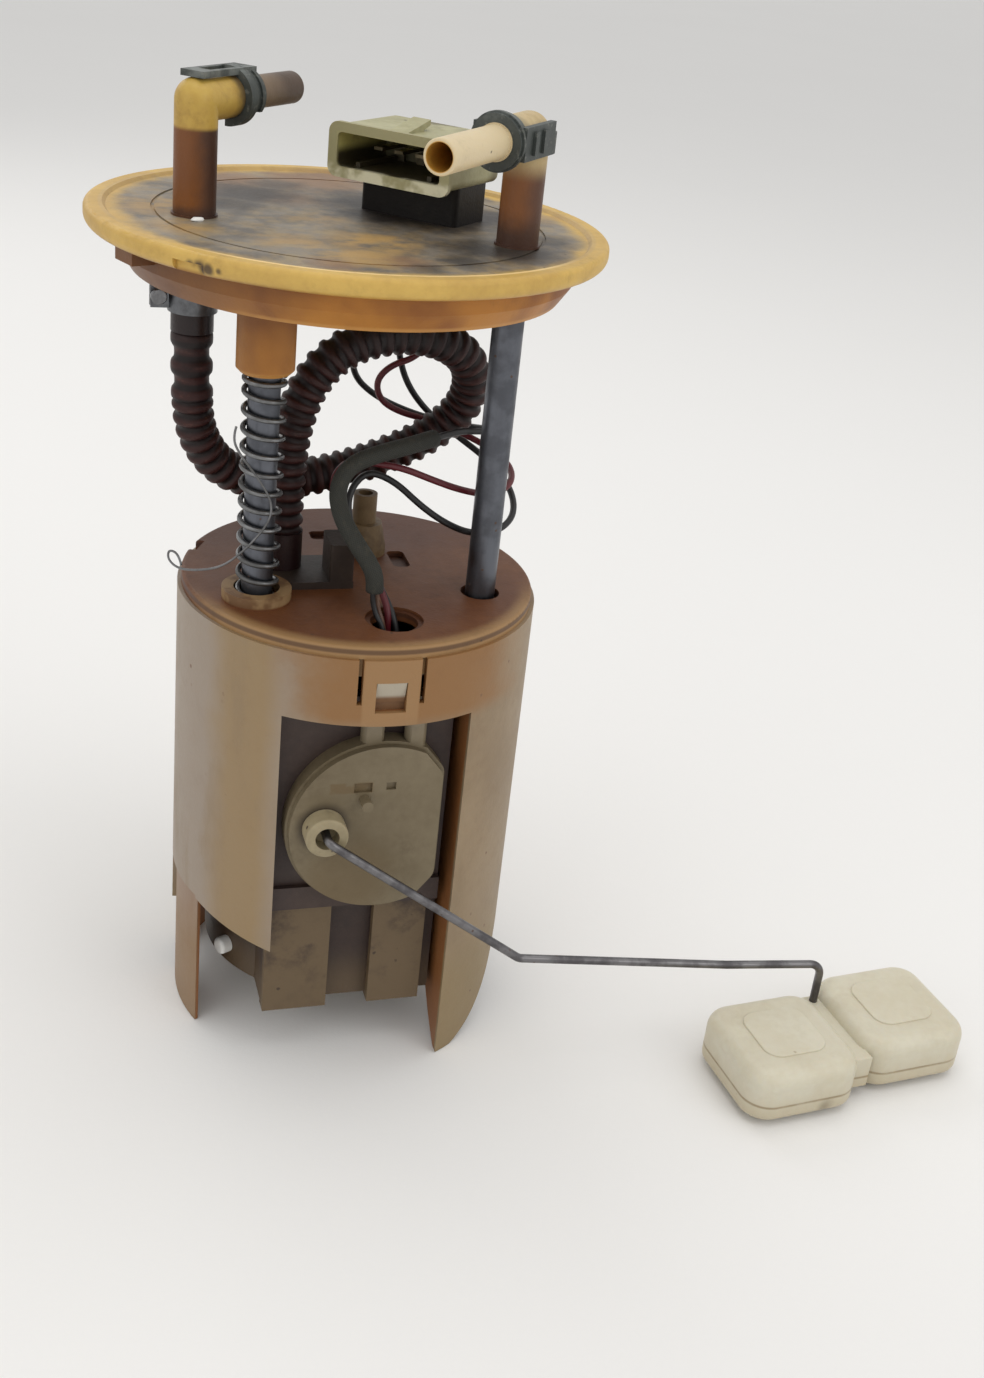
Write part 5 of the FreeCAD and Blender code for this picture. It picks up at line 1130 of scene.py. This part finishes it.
AMBER = (0.64, 0.42, 0.105)
AMBER_DEEP = (0.50, 0.31, 0.075)
COVER_FINISH = AmberCover(
    "amber_cover", AMBER, AMBER_DEEP, soiling=0.2, speckle=0.02, roughness=0.46, glow=0.04
)
SUPPLY_FINISH = AmberPipe(
    "amber_supply_pipe", (0.55, 0.37, 0.08), (0.42, 0.25, 0.05), foot=(-0.0392, -0.0038), turn=49.0,
    soiling=0.2, speckle=0.03, roughness=0.4, seed=2.0, glow=0.04,
)
RETURN_FINISH = AmberPipe(
    "amber_return_pipe", (0.58, 0.46, 0.25), (0.46, 0.33, 0.15), foot=(0.0366, -0.0227), turn=231.0,
    edge=0.0225, edge_soft=0.003, low=(0.075, 0.034, 0.02), upright=(0.24, 0.09, 0.028),
    flank=(0.07, 0.03, 0.018), sooty=(0.30, 0.24, 0.13), spigot=(0.64, 0.52, 0.32),
    tip=(0.66, 0.54, 0.34), bore_tint=(0.48, 0.25, 0.04), soiling=0.2, speckle=0.03,
    roughness=0.42, seed=7.0, glow=0.04,
)
RETAINER_FINISH = WornRetainer(
    "worn_retainer", (0.058, 0.068, 0.064), (0.032, 0.037, 0.034), dirt=(0.12, 0.115, 0.09),
    soiling=0.4, speckle=0.08, roughness=0.5, seed=3.0,
)
SOCKET_FINISH = OliveSocket(
    "olive_socket", (0.45, 0.43, 0.26), (0.31, 0.29, 0.155), soiling=0.4, speckle=0.06, seed=4.0,
    glow=0.03,
)
PIN_FINISH = Steel("contact_blades", (0.22, 0.19, 0.13), (0.12, 0.1, 0.06), 0.36, 0.2, seed=8.0)
BLACK_FINISH = Moulded(
    "black_plastic_dusty", (0.006, 0.005, 0.005), (0.011, 0.009, 0.008), dirt=(0.035, 0.028, 0.02),
    soiling=0.25, speckle=0.06, shine=0.25, roughness=0.42, seed=5.0,
)
CAP_FINISH = BakedCap(
    "baked_cap", (0.17, 0.062, 0.019), (0.12, 0.041, 0.014), soiling=0.3, speckle=0.03, seed=6.0
)
TAN_FINISH = Moulded(
    "tan_plastic_stained", (0.22, 0.15, 0.075), (0.13, 0.08, 0.035), soiling=0.5, seed=7.0
)
GREY_FINISH = Moulded(
    "grey_plastic_stained", (0.045, 0.03, 0.022), (0.025, 0.016, 0.012), soiling=0.5, seed=8.0
)
SHELL_FINISH = StainedShell(
    "stained_shell", (0.30, 0.22, 0.135), (0.24, 0.17, 0.10), dirt=(0.16, 0.08, 0.045),
    soiling=0.12, speckle=0.02, roughness=0.48, seed=9.0, glow=0.05,
)
# Near-black brown purple: the pot's walls darkened with painted shade.
POT_FINISH = ShadeDarkenedPot(
    "shade_darkened_pot", (0.042, 0.024, 0.018), (0.024, 0.014, 0.012), soiling=0.2, speckle=0.03,
    seed=10.0,
)
# Near-black purple brown: painted shadow on the sender plate behind the dial.
PLATE_FINISH = Moulded(
    "shade_darkened_plate", (0.06, 0.038, 0.03), (0.035, 0.022, 0.02), soiling=0.2, speckle=0.03,
    seed=11.0,
)
DIAL_FINISH = DialFace(
    "greyed_ivory", (0.19, 0.152, 0.093), (0.145, 0.112, 0.064), soiling=0.2, speckle=0.02,
    seed=12.0,
)
HUB_FINISH = Moulded(
    "hub_ivory", (0.36, 0.30, 0.185), (0.27, 0.22, 0.13), soiling=0.25, roughness=0.42,
    seed=13.0, glow=0.04,
)
FLOAT_FINISH = FloatSkin(
    "float_ivory", (0.64, 0.605, 0.485), (0.58, 0.53, 0.40), dirt=(0.36, 0.28, 0.18), soiling=0.12,
    speckle=0.01, roughness=0.36, relief=0.00008, seed=14.0, glow=0.08,
)
WHITE_FINISH = Moulded("white_nub", (0.86, 0.86, 0.84), (0.74, 0.73, 0.69), soiling=0.15, seed=15.0)
BUSH_FINISH = Moulded(
    "dark_bush", (0.05, 0.042, 0.04), (0.028, 0.024, 0.022), roughness=0.38, seed=16.0
)
RUBBER_FINISH = Moulded(
    "seal_rubber", (0.024, 0.022, 0.021), (0.04, 0.036, 0.032), roughness=0.6, seed=17.0
)
CARD_FINISH = Moulded("card_ceramic", (0.30, 0.42, 0.36), (0.5, 0.5, 0.44), soiling=0.2, seed=18.0)
CARBON_FINISH = Moulded(
    "pressed_carbon", (0.03, 0.03, 0.032), (0.05, 0.05, 0.052), roughness=0.44, seed=19.0
)
ROD_FINISH = Steel(
    "rod_steel_spotted", (0.135, 0.142, 0.162), (0.105, 0.11, 0.125), 0.34, 0.2, seed=1.0
)
SPRING_FINISH = Steel(
    "spring_wire", (0.24, 0.245, 0.25), (0.14, 0.14, 0.14), 0.34, 0.2, (1.0, 1.0, 1.0), seed=2.0
)
CLAMP_FINISH = Steel(
    "clamp_band", (0.16, 0.165, 0.175), (0.1, 0.1, 0.105), 0.38, 0.2, (1.0, 1.0, 1.0), seed=3.0
)
SCREW_FINISH = Steel("screw_bright", (0.3, 0.3, 0.31), (0.17, 0.17, 0.175), 0.26, 0.2, seed=4.0)
ARM_FINISH = Steel(
    "arm_wire", (0.20, 0.195, 0.20), (0.11, 0.105, 0.11), 0.3, 0.2, (0.1, 1.0, 1.0), seed=5.0
)
BRASS_FINISH = Steel(
    "brass", (0.62, 0.45, 0.2), (0.36, 0.25, 0.11), 0.3, 0.15, rust=(0.1, 0.08, 0.04), seed=6.0
)
TIE_FINISH = Steel("tie_wire_steel", (0.2, 0.2, 0.205), (0.12, 0.12, 0.12), 0.34, 0.1, seed=9.0)
IRON_FINISH = Steel("magnet_iron", (0.1, 0.1, 0.105), (0.06, 0.055, 0.055), 0.45, 0.2, seed=7.0)
HOSE_FINISH = HosePlastic()
CUFF_FINISH = Moulded(
    "hose_cuff", (0.02, 0.007, 0.007), (0.012, 0.005, 0.005), dirt=(0.04, 0.02, 0.016),
    speckle=0.03, roughness=0.38, seed=20.0,
)
BLACK_WIRE_FINISH = Insulation("black_insulation", (0.007, 0.007, 0.008), (0.02, 0.018, 0.018))
RED_WIRE_FINISH = Insulation("red_insulation", (0.10, 0.006, 0.012), (0.13, 0.024, 0.028))
BROWN_WIRE_FINISH = Insulation("brown_insulation", (0.1, 0.045, 0.025), (0.16, 0.09, 0.06))
SLEEVE_FINISH = WovenSleeve()
FILTER_FINISH = FilterMesh()

# ---------------------------------------------------------------- making pieces


@lru_cache(maxsize=None)
def material_of(finish: Finish) -> bpy.types.Material:
    """Material of a finish, made once.

    Args:
        finish: The finish.

    Returns:
        Its material.
    """
    return finish.material()


def dress(finish: Finish, *nodes: str) -> None:
    """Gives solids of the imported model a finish.

    Args:
        finish: The finish.
        nodes: Names of the solids.
    """
    for name in nodes:
        for slot in frame["nodes"][name].material_slots:
            slot.material = material_of(finish)
        LOG.info("dressed %s in %s", name, finish.name)


def piece(name: str, mesh_maker: bmesh.types.BMesh, finish: Finish) -> bpy.types.Object:
    """Turns a finished bmesh into a smooth object at the origin.

    Args:
        name: Name of the piece.
        mesh_maker: Its mesh, in the object's frame; it is freed.
        finish: Its finish.

    Returns:
        The new object.
    """
    bmesh.ops.recalc_face_normals(mesh_maker, faces=mesh_maker.faces[:])
    mesh = bpy.data.meshes.new(name)
    mesh_maker.to_mesh(mesh)
    mesh_maker.free()
    mesh.shade_smooth()
    mesh.materials.append(material_of(finish))
    made = bpy.data.objects.new(name, mesh)
    bpy.context.scene.collection.objects.link(made)
    LOG.info("made %s with %d faces", name, len(mesh.polygons))
    return made


def spline_line(route: Route, resolution: int) -> list[Vector]:
    """Reads the smooth line of a route from its NURBS spline.

    Args:
        route: Control points in metres.
        resolution: Steps between control points.

    Returns:
        Points of the line.
    """
    curve = bpy.data.curves.new("route", "CURVE")
    curve.dimensions = "3D"
    curve.resolution_u = resolution
    spline = curve.splines.new("NURBS")
    spline.points.add(len(route) - 1)
    for control, place in zip(spline.points, route):
        control.co = (*place, 1.0)
    spline.order_u = 3
    spline.use_endpoint_u = True
    carrier = bpy.data.objects.new("route", curve)
    mesh = bpy.data.meshes.new_from_object(carrier)
    line = [vertex.co.copy() for vertex in mesh.vertices]
    bpy.data.objects.remove(carrier)
    bpy.data.curves.remove(curve)
    bpy.data.meshes.remove(mesh)
    return line


def line_frames(line: Sequence[Vector]) -> list[Matrix]:
    """Untwisted frames along a line, with Z ahead.

    Args:
        line: Points of the line.

    Returns:
        A matrix at each point.
    """
    ahead = [(b - a).normalized() for a, b in zip(line, line[1:])]
    tangents = [ahead[0]] + [(a + b).normalized() for a, b in zip(ahead, ahead[1:])] + [ahead[-1]]
    turn = tangents[0].to_track_quat("Z", "Y")
    frames = []
    for number, (place, tangent) in enumerate(zip(line, tangents)):
        if number:
            turn = tangents[number - 1].rotation_difference(tangent) @ turn
        frames.append(Matrix.LocRotScale(place, turn, None))
    return frames


def tube(
    name: str,
    line: Sequence[Vector],
    radius: Callable[[float], float],
    sides: int,
    finish: Finish,
) -> bpy.types.Object:
    """Closed tube along a line, with a map of turns and metres.

    Args:
        name: Name of the piece.
        line: Centre of each ring.
        radius: Radius at a distance along the line.
        sides: Sides of a ring.
        finish: Its finish.

    Returns:
        The new object.
    """
    made = bmesh.new()
    ring = bmesh.ops.create_circle(made, cap_ends=False, radius=1.0, segments=sides)["verts"]
    edges = list({edge for vertex in ring for edge in vertex.link_edges})
    frames = line_frames(line)
    runs = [0.0]
    for before, after in zip(line, line[1:]):
        runs.append(runs[-1] + (after - before).length)
    shapes = [place @ Matrix.Scale(radius(run), 4) for place, run in zip(frames, runs)]
    bmesh.ops.transform(made, matrix=shapes[0], verts=ring)
    first = edges
    for before, after in zip(shapes, shapes[1:]):
        grown = bmesh.ops.extrude_edge_only(made, edges=edges)["geom"]
        ring = [part for part in grown if isinstance(part, bmesh.types.BMVert)]
        chosen = set(ring)
        edges = [
            part for part in grown
            if isinstance(part, bmesh.types.BMEdge) and all(end in chosen for end in part.verts)
        ]
        bmesh.ops.transform(made, matrix=after @ before.inverted(), verts=ring)
    map_tube(made, runs, sides)
    for rim in (first, edges):
        bmesh.ops.holes_fill(made, edges=rim, sides=0)
    return piece(name, made, finish)


def map_tube(made: bmesh.types.BMesh, runs: Sequence[float], sides: int) -> None:
    """Writes turns and metres along into the tube's map.

    Args:
        made: Tube of rings in order.
        runs: Distance of each ring along the line.
        sides: Sides of a ring.
    """
    made.verts.index_update()
    layer = made.loops.layers.uv.new(LAY_MAP)
    for face in made.faces:
        rings = [loop.vert.index // sides for loop in face.loops]
        slots = [loop.vert.index % sides for loop in face.loops]
        seam = max(slots) - min(slots) > sides // 2
        for loop, ring, slot in zip(face.loops, rings, slots):
            turn = slot + (sides if seam and slot < sides // 2 else 0)
            loop[layer].uv = (turn / sides, runs[ring])


# ---------------------------------------------------------------- sub-assemblies


@dataclass
class CoverSet:
    """Cover with its pipes, retainers and electrical socket."""

    crumb_at: Point = (-0.0392, -0.0108, 0.0045)
    crumb_turn: float = 0.6
    crumb_dents: float = 0.22
    crumb_size: Point = (0.0019, 0.0010, 0.0006)

    def dress(self) -> None:
        """Gives each solid its finish."""
        dress(COVER_FINISH, "cover")
        dress(SUPPLY_FINISH, "supply_pipe")
        dress(RETURN_FINISH, "return_pipe")
        dress(RETAINER_FINISH, "supply_retainer", "return_retainer")
        dress(SOCKET_FINISH, "connector_socket")
        dress(BLACK_FINISH, "connector_base", "cover_plug")
        dress(PIN_FINISH, "connector_pins")

    def crumb(self) -> bpy.types.Object:
        """Chip of white sealant at the left pipe's foot.

        Returns:
            The piece.
        """
        made = bmesh.new()
        bmesh.ops.create_icosphere(made, subdivisions=2, radius=1.0)
        for vertex in made.verts:
            x, y, z = vertex.co
            wave = math.sin(5.0 * x + 3.0 * y) * math.cos(4.0 * z)
            vertex.co *= 1.0 + self.crumb_dents * wave
        turned = Matrix.Translation(self.crumb_at) @ Matrix.Rotation(self.crumb_turn, 4, "Z")
        shape = turned @ Matrix.Diagonal((*self.crumb_size, 1.0))
        bmesh.ops.transform(made, matrix=shape, verts=made.verts[:])
        made = piece("sealant_crumb", made, WHITE_FINISH)
        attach(made, Body.COVER.value)
        return made


@dataclass
class Guides:
    """Two guide rods and the coil spring on the left one."""

    rod: Span = (-0.0238, -0.0227)
    top: float = -0.0288
    low: float = -0.0907
    mean_radius: float = 0.00495
    wire: float = 0.0014
    closed_turns: int = 1
    open_turns: int = 12
    closed_pitch: float = 0.0015
    steps: int = 28
    wire_sides: int = 10
    travel: float = 0.020

    def dress(self) -> None:
        """Gives each solid its finish."""
        dress(ROD_FINISH, "guide_rod", "return_rod")
        dress(SPRING_FINISH, "rod_clips")

    def spring(self) -> bpy.types.Object:
        """Coil spring with closed ends.

        Returns:
            The piece.
        """
        made = bmesh.new()
        section = bmesh.ops.create_circle(
            made, cap_ends=True, radius=self.wire / 2, segments=self.wire_sides
        )
        first = (self.rod[0] + self.mean_radius, self.rod[1], self.top - self.wire / 2)
        start = Matrix.Translation(first) @ Matrix.Rotation(math.pi / 2, 4, "X")
        bmesh.ops.transform(made, matrix=start, verts=section["verts"])
        part: list[Any] = made.faces[:]
        span = self.top - self.low - self.wire
        open_pitch = (span - 2 * self.closed_turns * self.closed_pitch) / self.open_turns
        closed = (self.closed_turns, self.closed_pitch)
        for turns, pitch in (closed, (self.open_turns, open_pitch), closed):
            steps = turns * self.steps
            result = bmesh.ops.spin(
                made,
                geom=part,
                cent=(*self.rod, 0.0),
                axis=(0.0, 0.0, 1.0),
                dvec=(0.0, 0.0, -pitch / self.steps),
                angle=FULL_TURN * turns,
                steps=steps,
                use_duplicate=False,
            )
            part = result["geom_last"]
        bmesh.ops.remove_doubles(made, verts=made.verts[:], dist=1e-7)
        coil = piece("coil_spring", made, SPRING_FINISH)
        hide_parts("spring")
        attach(coil, Body.COVER.value)
        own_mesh(coil)
        return coil


@dataclass
class Cords:
    """Hose, wires and sleeve between the cover and the reservoir."""

    hose_diameter: float = 0.0106
    hose_length: float = 0.2237
    crest: float = 0.00048
    pitch: float = 0.0036
    smooth_run: float = 0.017
    wire_diameter: float = 0.0018
    tail_diameter: float = 0.0014
    tie_diameter: float = 0.0006
    sleeve_diameter: float = 0.0046
    bend_start: Point = (0.0, 0.0, -0.020)
    bend_end: Point = (0.0, 0.0, -0.066)

    def _bends(self, made: bpy.types.Object) -> None:
        """Bakes the piece's placement into its mesh."""
        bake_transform(made)

    def hose_radius(self, run: float) -> float:
        """Radius of the corrugated hose.

        Args:
            run: Distance from its upper end.

        Returns:
            The radius.
        """
        mean = self.hose_diameter / 2 - self.crest
        if run < self.smooth_run:
            return mean + self.crest * math.tanh(2.2 * math.sin(math.pi * run / self.pitch))
        return mean + self.crest * math.tanh(2.0 * math.sin(FULL_TURN * run / self.pitch))

    def hose(self) -> bpy.types.Object:
        """Corrugated hose with its one loop.

        Returns:
            The piece.
        """
        line = spline_line(HOSE_ROUTE, 36)
        made = tube("corrugated_hose", line, self.hose_radius, 30, HOSE_FINISH)
        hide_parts("hose")
        self._bends(made)
        return made

    def wire(
        self,
        name: str,
        route: Route,
        diameter: float,
        finish: Finish,
        slot: str,
        node: str,
        length: float = 0.0,
        tails: Sequence[bpy.types.Object] = (),
    ) -> bpy.types.Object:
        """One insulated wire or sleeve.

        Args:
            name: Name of the piece.
            route: Control points of its line.
            diameter: Outer diameter.
            finish: Its finish.
            slot: Not used.
            node: Solid that it stands for.
            tails: Not used.

        Returns:
            The piece.
        """
        line = spline_line(route, 10)
        made = tube(name, line, lambda run: diameter / 2, 14, finish)
        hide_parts(node)
        self._bends(made)
        return made

    def tie(self) -> bpy.types.Object:
        """Thin stiff tie wire that passes in front of the spring and ends in a small open loop.

        Returns:
            The piece.
        """
        line = spline_line(TIE_ROUTE, 12)
        made = tube("tie_wire", line, lambda run: self.tie_diameter / 2, 8, TIE_FINISH)
        self._bends(made)
        return made

    def build(self) -> None:
        """Makes every cord and dresses the cuffs, the clamp and the plug."""
        self.hose()
        thick, thin = self.wire_diameter, self.tail_diameter
        black = (BLACK_WIRE_FINISH, "black_insulation")
        red = (RED_WIRE_FINISH, "red_insulation")
        brown = (BROWN_WIRE_FINISH, "brown_insulation")
        self.wire("pump_wire_black", BLACK_ROUTE, thick, *black, "black_wire", 0.1847)
        self.wire("pump_wire_red", RED_ROUTE, thick, *red, "red_wire", 0.2020)
        self.wire("sender_wire", LEAD_ROUTE, thick, *black, "sender_lead", 0.1189)
        tails = [
            self.wire("tail_brown", BROWN_TAIL_ROUTE, thin, *brown, "brown_tail"),
            self.wire("tail_dark", DARK_TAIL_ROUTE, thin, *black, "dark_tail"),
        ]
        self.wire(
            "braided_sleeve", SLEEVE_ROUTE, self.sleeve_diameter, SLEEVE_FINISH, "sleeve_fabric",
            "wire_sleeve", 0.0633, tails,
        )
        self.tie()
        dress(CUFF_FINISH, "upper_cuff", "lower_cuff")
        dress(CLAMP_FINISH, "hose_clamp")
        dress(SCREW_FINISH, "clamp_screw")
        dress(BLACK_FINISH, "wire_plug")


@dataclass
class Reservoir:
    """Shell, cap, inner pot and filter sock."""

    sock_centre: Point = (0.0084, -0.0008, -0.214)
    sock_half: Span = (0.031, 0.017)
    sock_thick: float = 0.0032
    neck_radius: float = 0.005
    neck_at: Span = (0.0064, -0.0028)
    neck_top: float = -0.204

    def dress(self) -> None:
        """Gives each solid its finish."""
        dress(SHELL_FINISH, "shell")
        dress(CAP_FINISH, "cap")
        dress(BUSH_FINISH, "guide_bushes", "pump_bearings")
        dress(GREY_FINISH, "outlet_block")
        dress(TAN_FINISH, "regulator_port")
        dress(POT_FINISH, "swirl_pot")
        dress(RUBBER_FINISH, "inlet_valve", "outlet_tube", "pump_cushion")
        dress(WHITE_FINISH, "pot_nub")

    def sock(self) -> bpy.types.Object:
        """Filter sock: two mesh faces welded round their edge, puffed in between, with its neck.

        Returns:
            The piece.
        """
        made = bmesh.new()
        bmesh.ops.create_grid(made, x_segments=36, y_segments=20, size=1.0)
        for vertex in made.verts:
            x, y = vertex.co.x, vertex.co.y
            squeeze = (1.0 - 0.06 * abs(x * y) ** 2)
            crown = (max(0.0, 1.0 - abs(x) ** 4) * max(0.0, 1.0 - abs(y) ** 4)) ** 0.5
            quilt = 0.14 * math.cos(3.0 * math.pi * x) * crown
            vertex.co.x = x * self.sock_half[0] * squeeze
            vertex.co.y = y * self.sock_half[1] * squeeze
            vertex.co.z = self.sock_thick * (0.12 + 0.88 * crown + quilt * 0.6)
        twin = bmesh.ops.duplicate(made, geom=made.verts[:] + made.edges[:] + made.faces[:])["geom"]
        lower = [part for part in twin if isinstance(part, bmesh.types.BMVert)]
        bmesh.ops.scale(made, vec=(1.0, 1.0, -1.0), verts=lower)
        rims = [edge for edge in made.edges if edge.is_boundary]
        bmesh.ops.bridge_loops(made, edges=rims)
        bmesh.ops.translate(made, vec=self.sock_centre, verts=made.verts[:])
        neck = bmesh.ops.create_cone(
            made, cap_ends=True, segments=32, radius1=self.neck_radius * 1.1,
            radius2=self.neck_radius, depth=self.neck_top - self.sock_centre[2],
        )["verts"]
        middle = (self.neck_top + self.sock_centre[2]) / 2
        bmesh.ops.translate(made, vec=(*self.neck_at, middle), verts=neck)
        sock = piece("filter_sock", made, FILTER_FINISH)
        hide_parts("strainer")
        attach(sock, Body.RESERVOIR.value)
        return sock


@dataclass
class Sender:
    """Level sender with its dial, hub, bent arm and float."""

    def dress(self) -> None:
        """Gives each solid its finish."""
        dress(PLATE_FINISH, "sender_plate")
        dress(DIAL_FINISH, "sender_case", "sender_cover")
        dress(CARD_FINISH, "resistor_card")
        dress(HUB_FINISH, "arm_hub")
        dress(BRASS_FINISH, "wiper")
        dress(ARM_FINISH, "float_arm")
        dress(FLOAT_FINISH, "float_upper", "float_lower")


@dataclass
class Pump:
    """Electric pump inside the pot."""

    def dress(self) -> None:
        """Gives each solid its finish."""
        dress(CLAMP_FINISH, "pump_case")
        dress(BLACK_FINISH, "pump_inlet", "pump_outlet", "brush_holders", "impeller")
        dress(ROD_FINISH, "rotor_shaft")
        dress(IRON_FINISH, "magnets", "armature")
        dress(BRASS_FINISH, "commutator")
        dress(CARBON_FINISH, "brushes")


# ---------------------------------------------------------------- studio


@dataclass
class Studio:
    """Pale floor, soft lights and the camera at the picture's viewing angle."""

    floor_z: float = -0.2222
    floor_half: float = 6.0
    world: Colour = (1.0, 0.995, 0.985)
    world_strength: float = 0.72
    warm: Colour = (1.0, 0.985, 0.96)
    camera_at: Point = (-0.0902, -0.4102, 0.0887)
    yaw: float = 19.0
    pitch: float = -26.8
    roll: float = 6.5
    lens: float = 43.0
    sensor: float = 36.0

    def floor(self) -> bpy.types.Object:
        """Floor under the object.

        Returns:
            The floor.
        """
        made = bmesh.new()
        bmesh.ops.create_grid(made, x_segments=4, y_segments=4, size=self.floor_half)
        bmesh.ops.translate(made, vec=(0.0, 0.0, self.floor_z), verts=made.verts[:])
        floor = piece("floor", made, StudioFloor())
        return floor

    def softbox(self, name: str, place: Point, aim: Point, size: float, power: float) -> None:
        """One square soft light.

        Args:
            name: Name of the light.
            place: Its centre.
            aim: Point that it faces.
            size: Side of the square.
            power: Watts.
        """
        lamp = bpy.data.lights.new(name, "AREA")
        lamp.size = size
        lamp.energy = power
        lamp.color = self.warm
        holder = bpy.data.objects.new(name, lamp)
        holder.location = place
        holder.rotation_euler = (Vector(place) - Vector(aim)).to_track_quat("Z", "Y").to_euler()
        bpy.context.scene.collection.objects.link(holder)

    def lights(self) -> None:
        """World light and four softboxes."""
        scene = bpy.context.scene
        scene.world = bpy.data.worlds.new("studio")
        scene.world.use_nodes = True
        back = next(n for n in scene.world.node_tree.nodes if n.type == "BACKGROUND")
        back.inputs["Color"].default_value = (*self.world, 1.0)
        back.inputs["Strength"].default_value = self.world_strength
        middle = (0.0, 0.0, -0.09)
        self.softbox("key_above", (0.15, -0.05, 1.1), middle, 1.1, 4.2)
        self.softbox("front_right", (0.75, -0.85, 0.45), middle, 0.8, 2.2)
        self.softbox("front_left", (-0.9, -0.55, 0.35), middle, 0.9, 1.5)
        self.softbox("behind", (-0.35, 0.95, 0.6), middle, 0.8, 2.0)
        scene.view_settings.view_transform = "Standard"

    def camera(self) -> bpy.types.Object:
        """Camera at the picture's viewing angle.

        Returns:
            The camera.
        """
        yaw, pitch, roll = (math.radians(v) for v in (self.yaw, self.pitch, self.roll))
        level = math.cos(pitch)
        ahead = Vector((math.sin(yaw) * level, math.cos(yaw) * level, math.sin(pitch)))
        right = Vector((math.cos(yaw), -math.sin(yaw), 0.0))
        up = right.cross(ahead)
        rolled_right = math.cos(roll) * right + math.sin(roll) * up
        rolled_up = -math.sin(roll) * right + math.cos(roll) * up
        turn = Matrix((rolled_right, rolled_up, -ahead)).transposed().to_4x4()
        data = bpy.data.cameras.new("picture_camera")
        data.lens = self.lens
        data.sensor_width = self.sensor
        data.clip_start = 0.01
        data.clip_end = 50.0
        camera = bpy.data.objects.new("picture_camera", data)
        camera.matrix_world = Matrix.Translation(self.camera_at) @ turn
        bpy.context.scene.collection.objects.link(camera)
        bpy.context.scene.camera = camera
        return camera

    def build(self) -> None:
        """Makes floor, lights and camera."""
        self.camera()
        self.floor()
        self.lights()


def main() -> None:
    """Builds the scene, camera and cords first."""
    logging.basicConfig(level=logging.INFO, format="%(message)s")
    Studio().build()
    Cords().build()
    guides = Guides()
    guides.dress()
    guides.spring()
    cover = CoverSet()
    cover.dress()
    cover.crumb()
    reservoir = Reservoir()
    reservoir.dress()
    reservoir.sock()
    Sender().dress()
    Pump().dress()


if __name__ == "__main__":
    main()
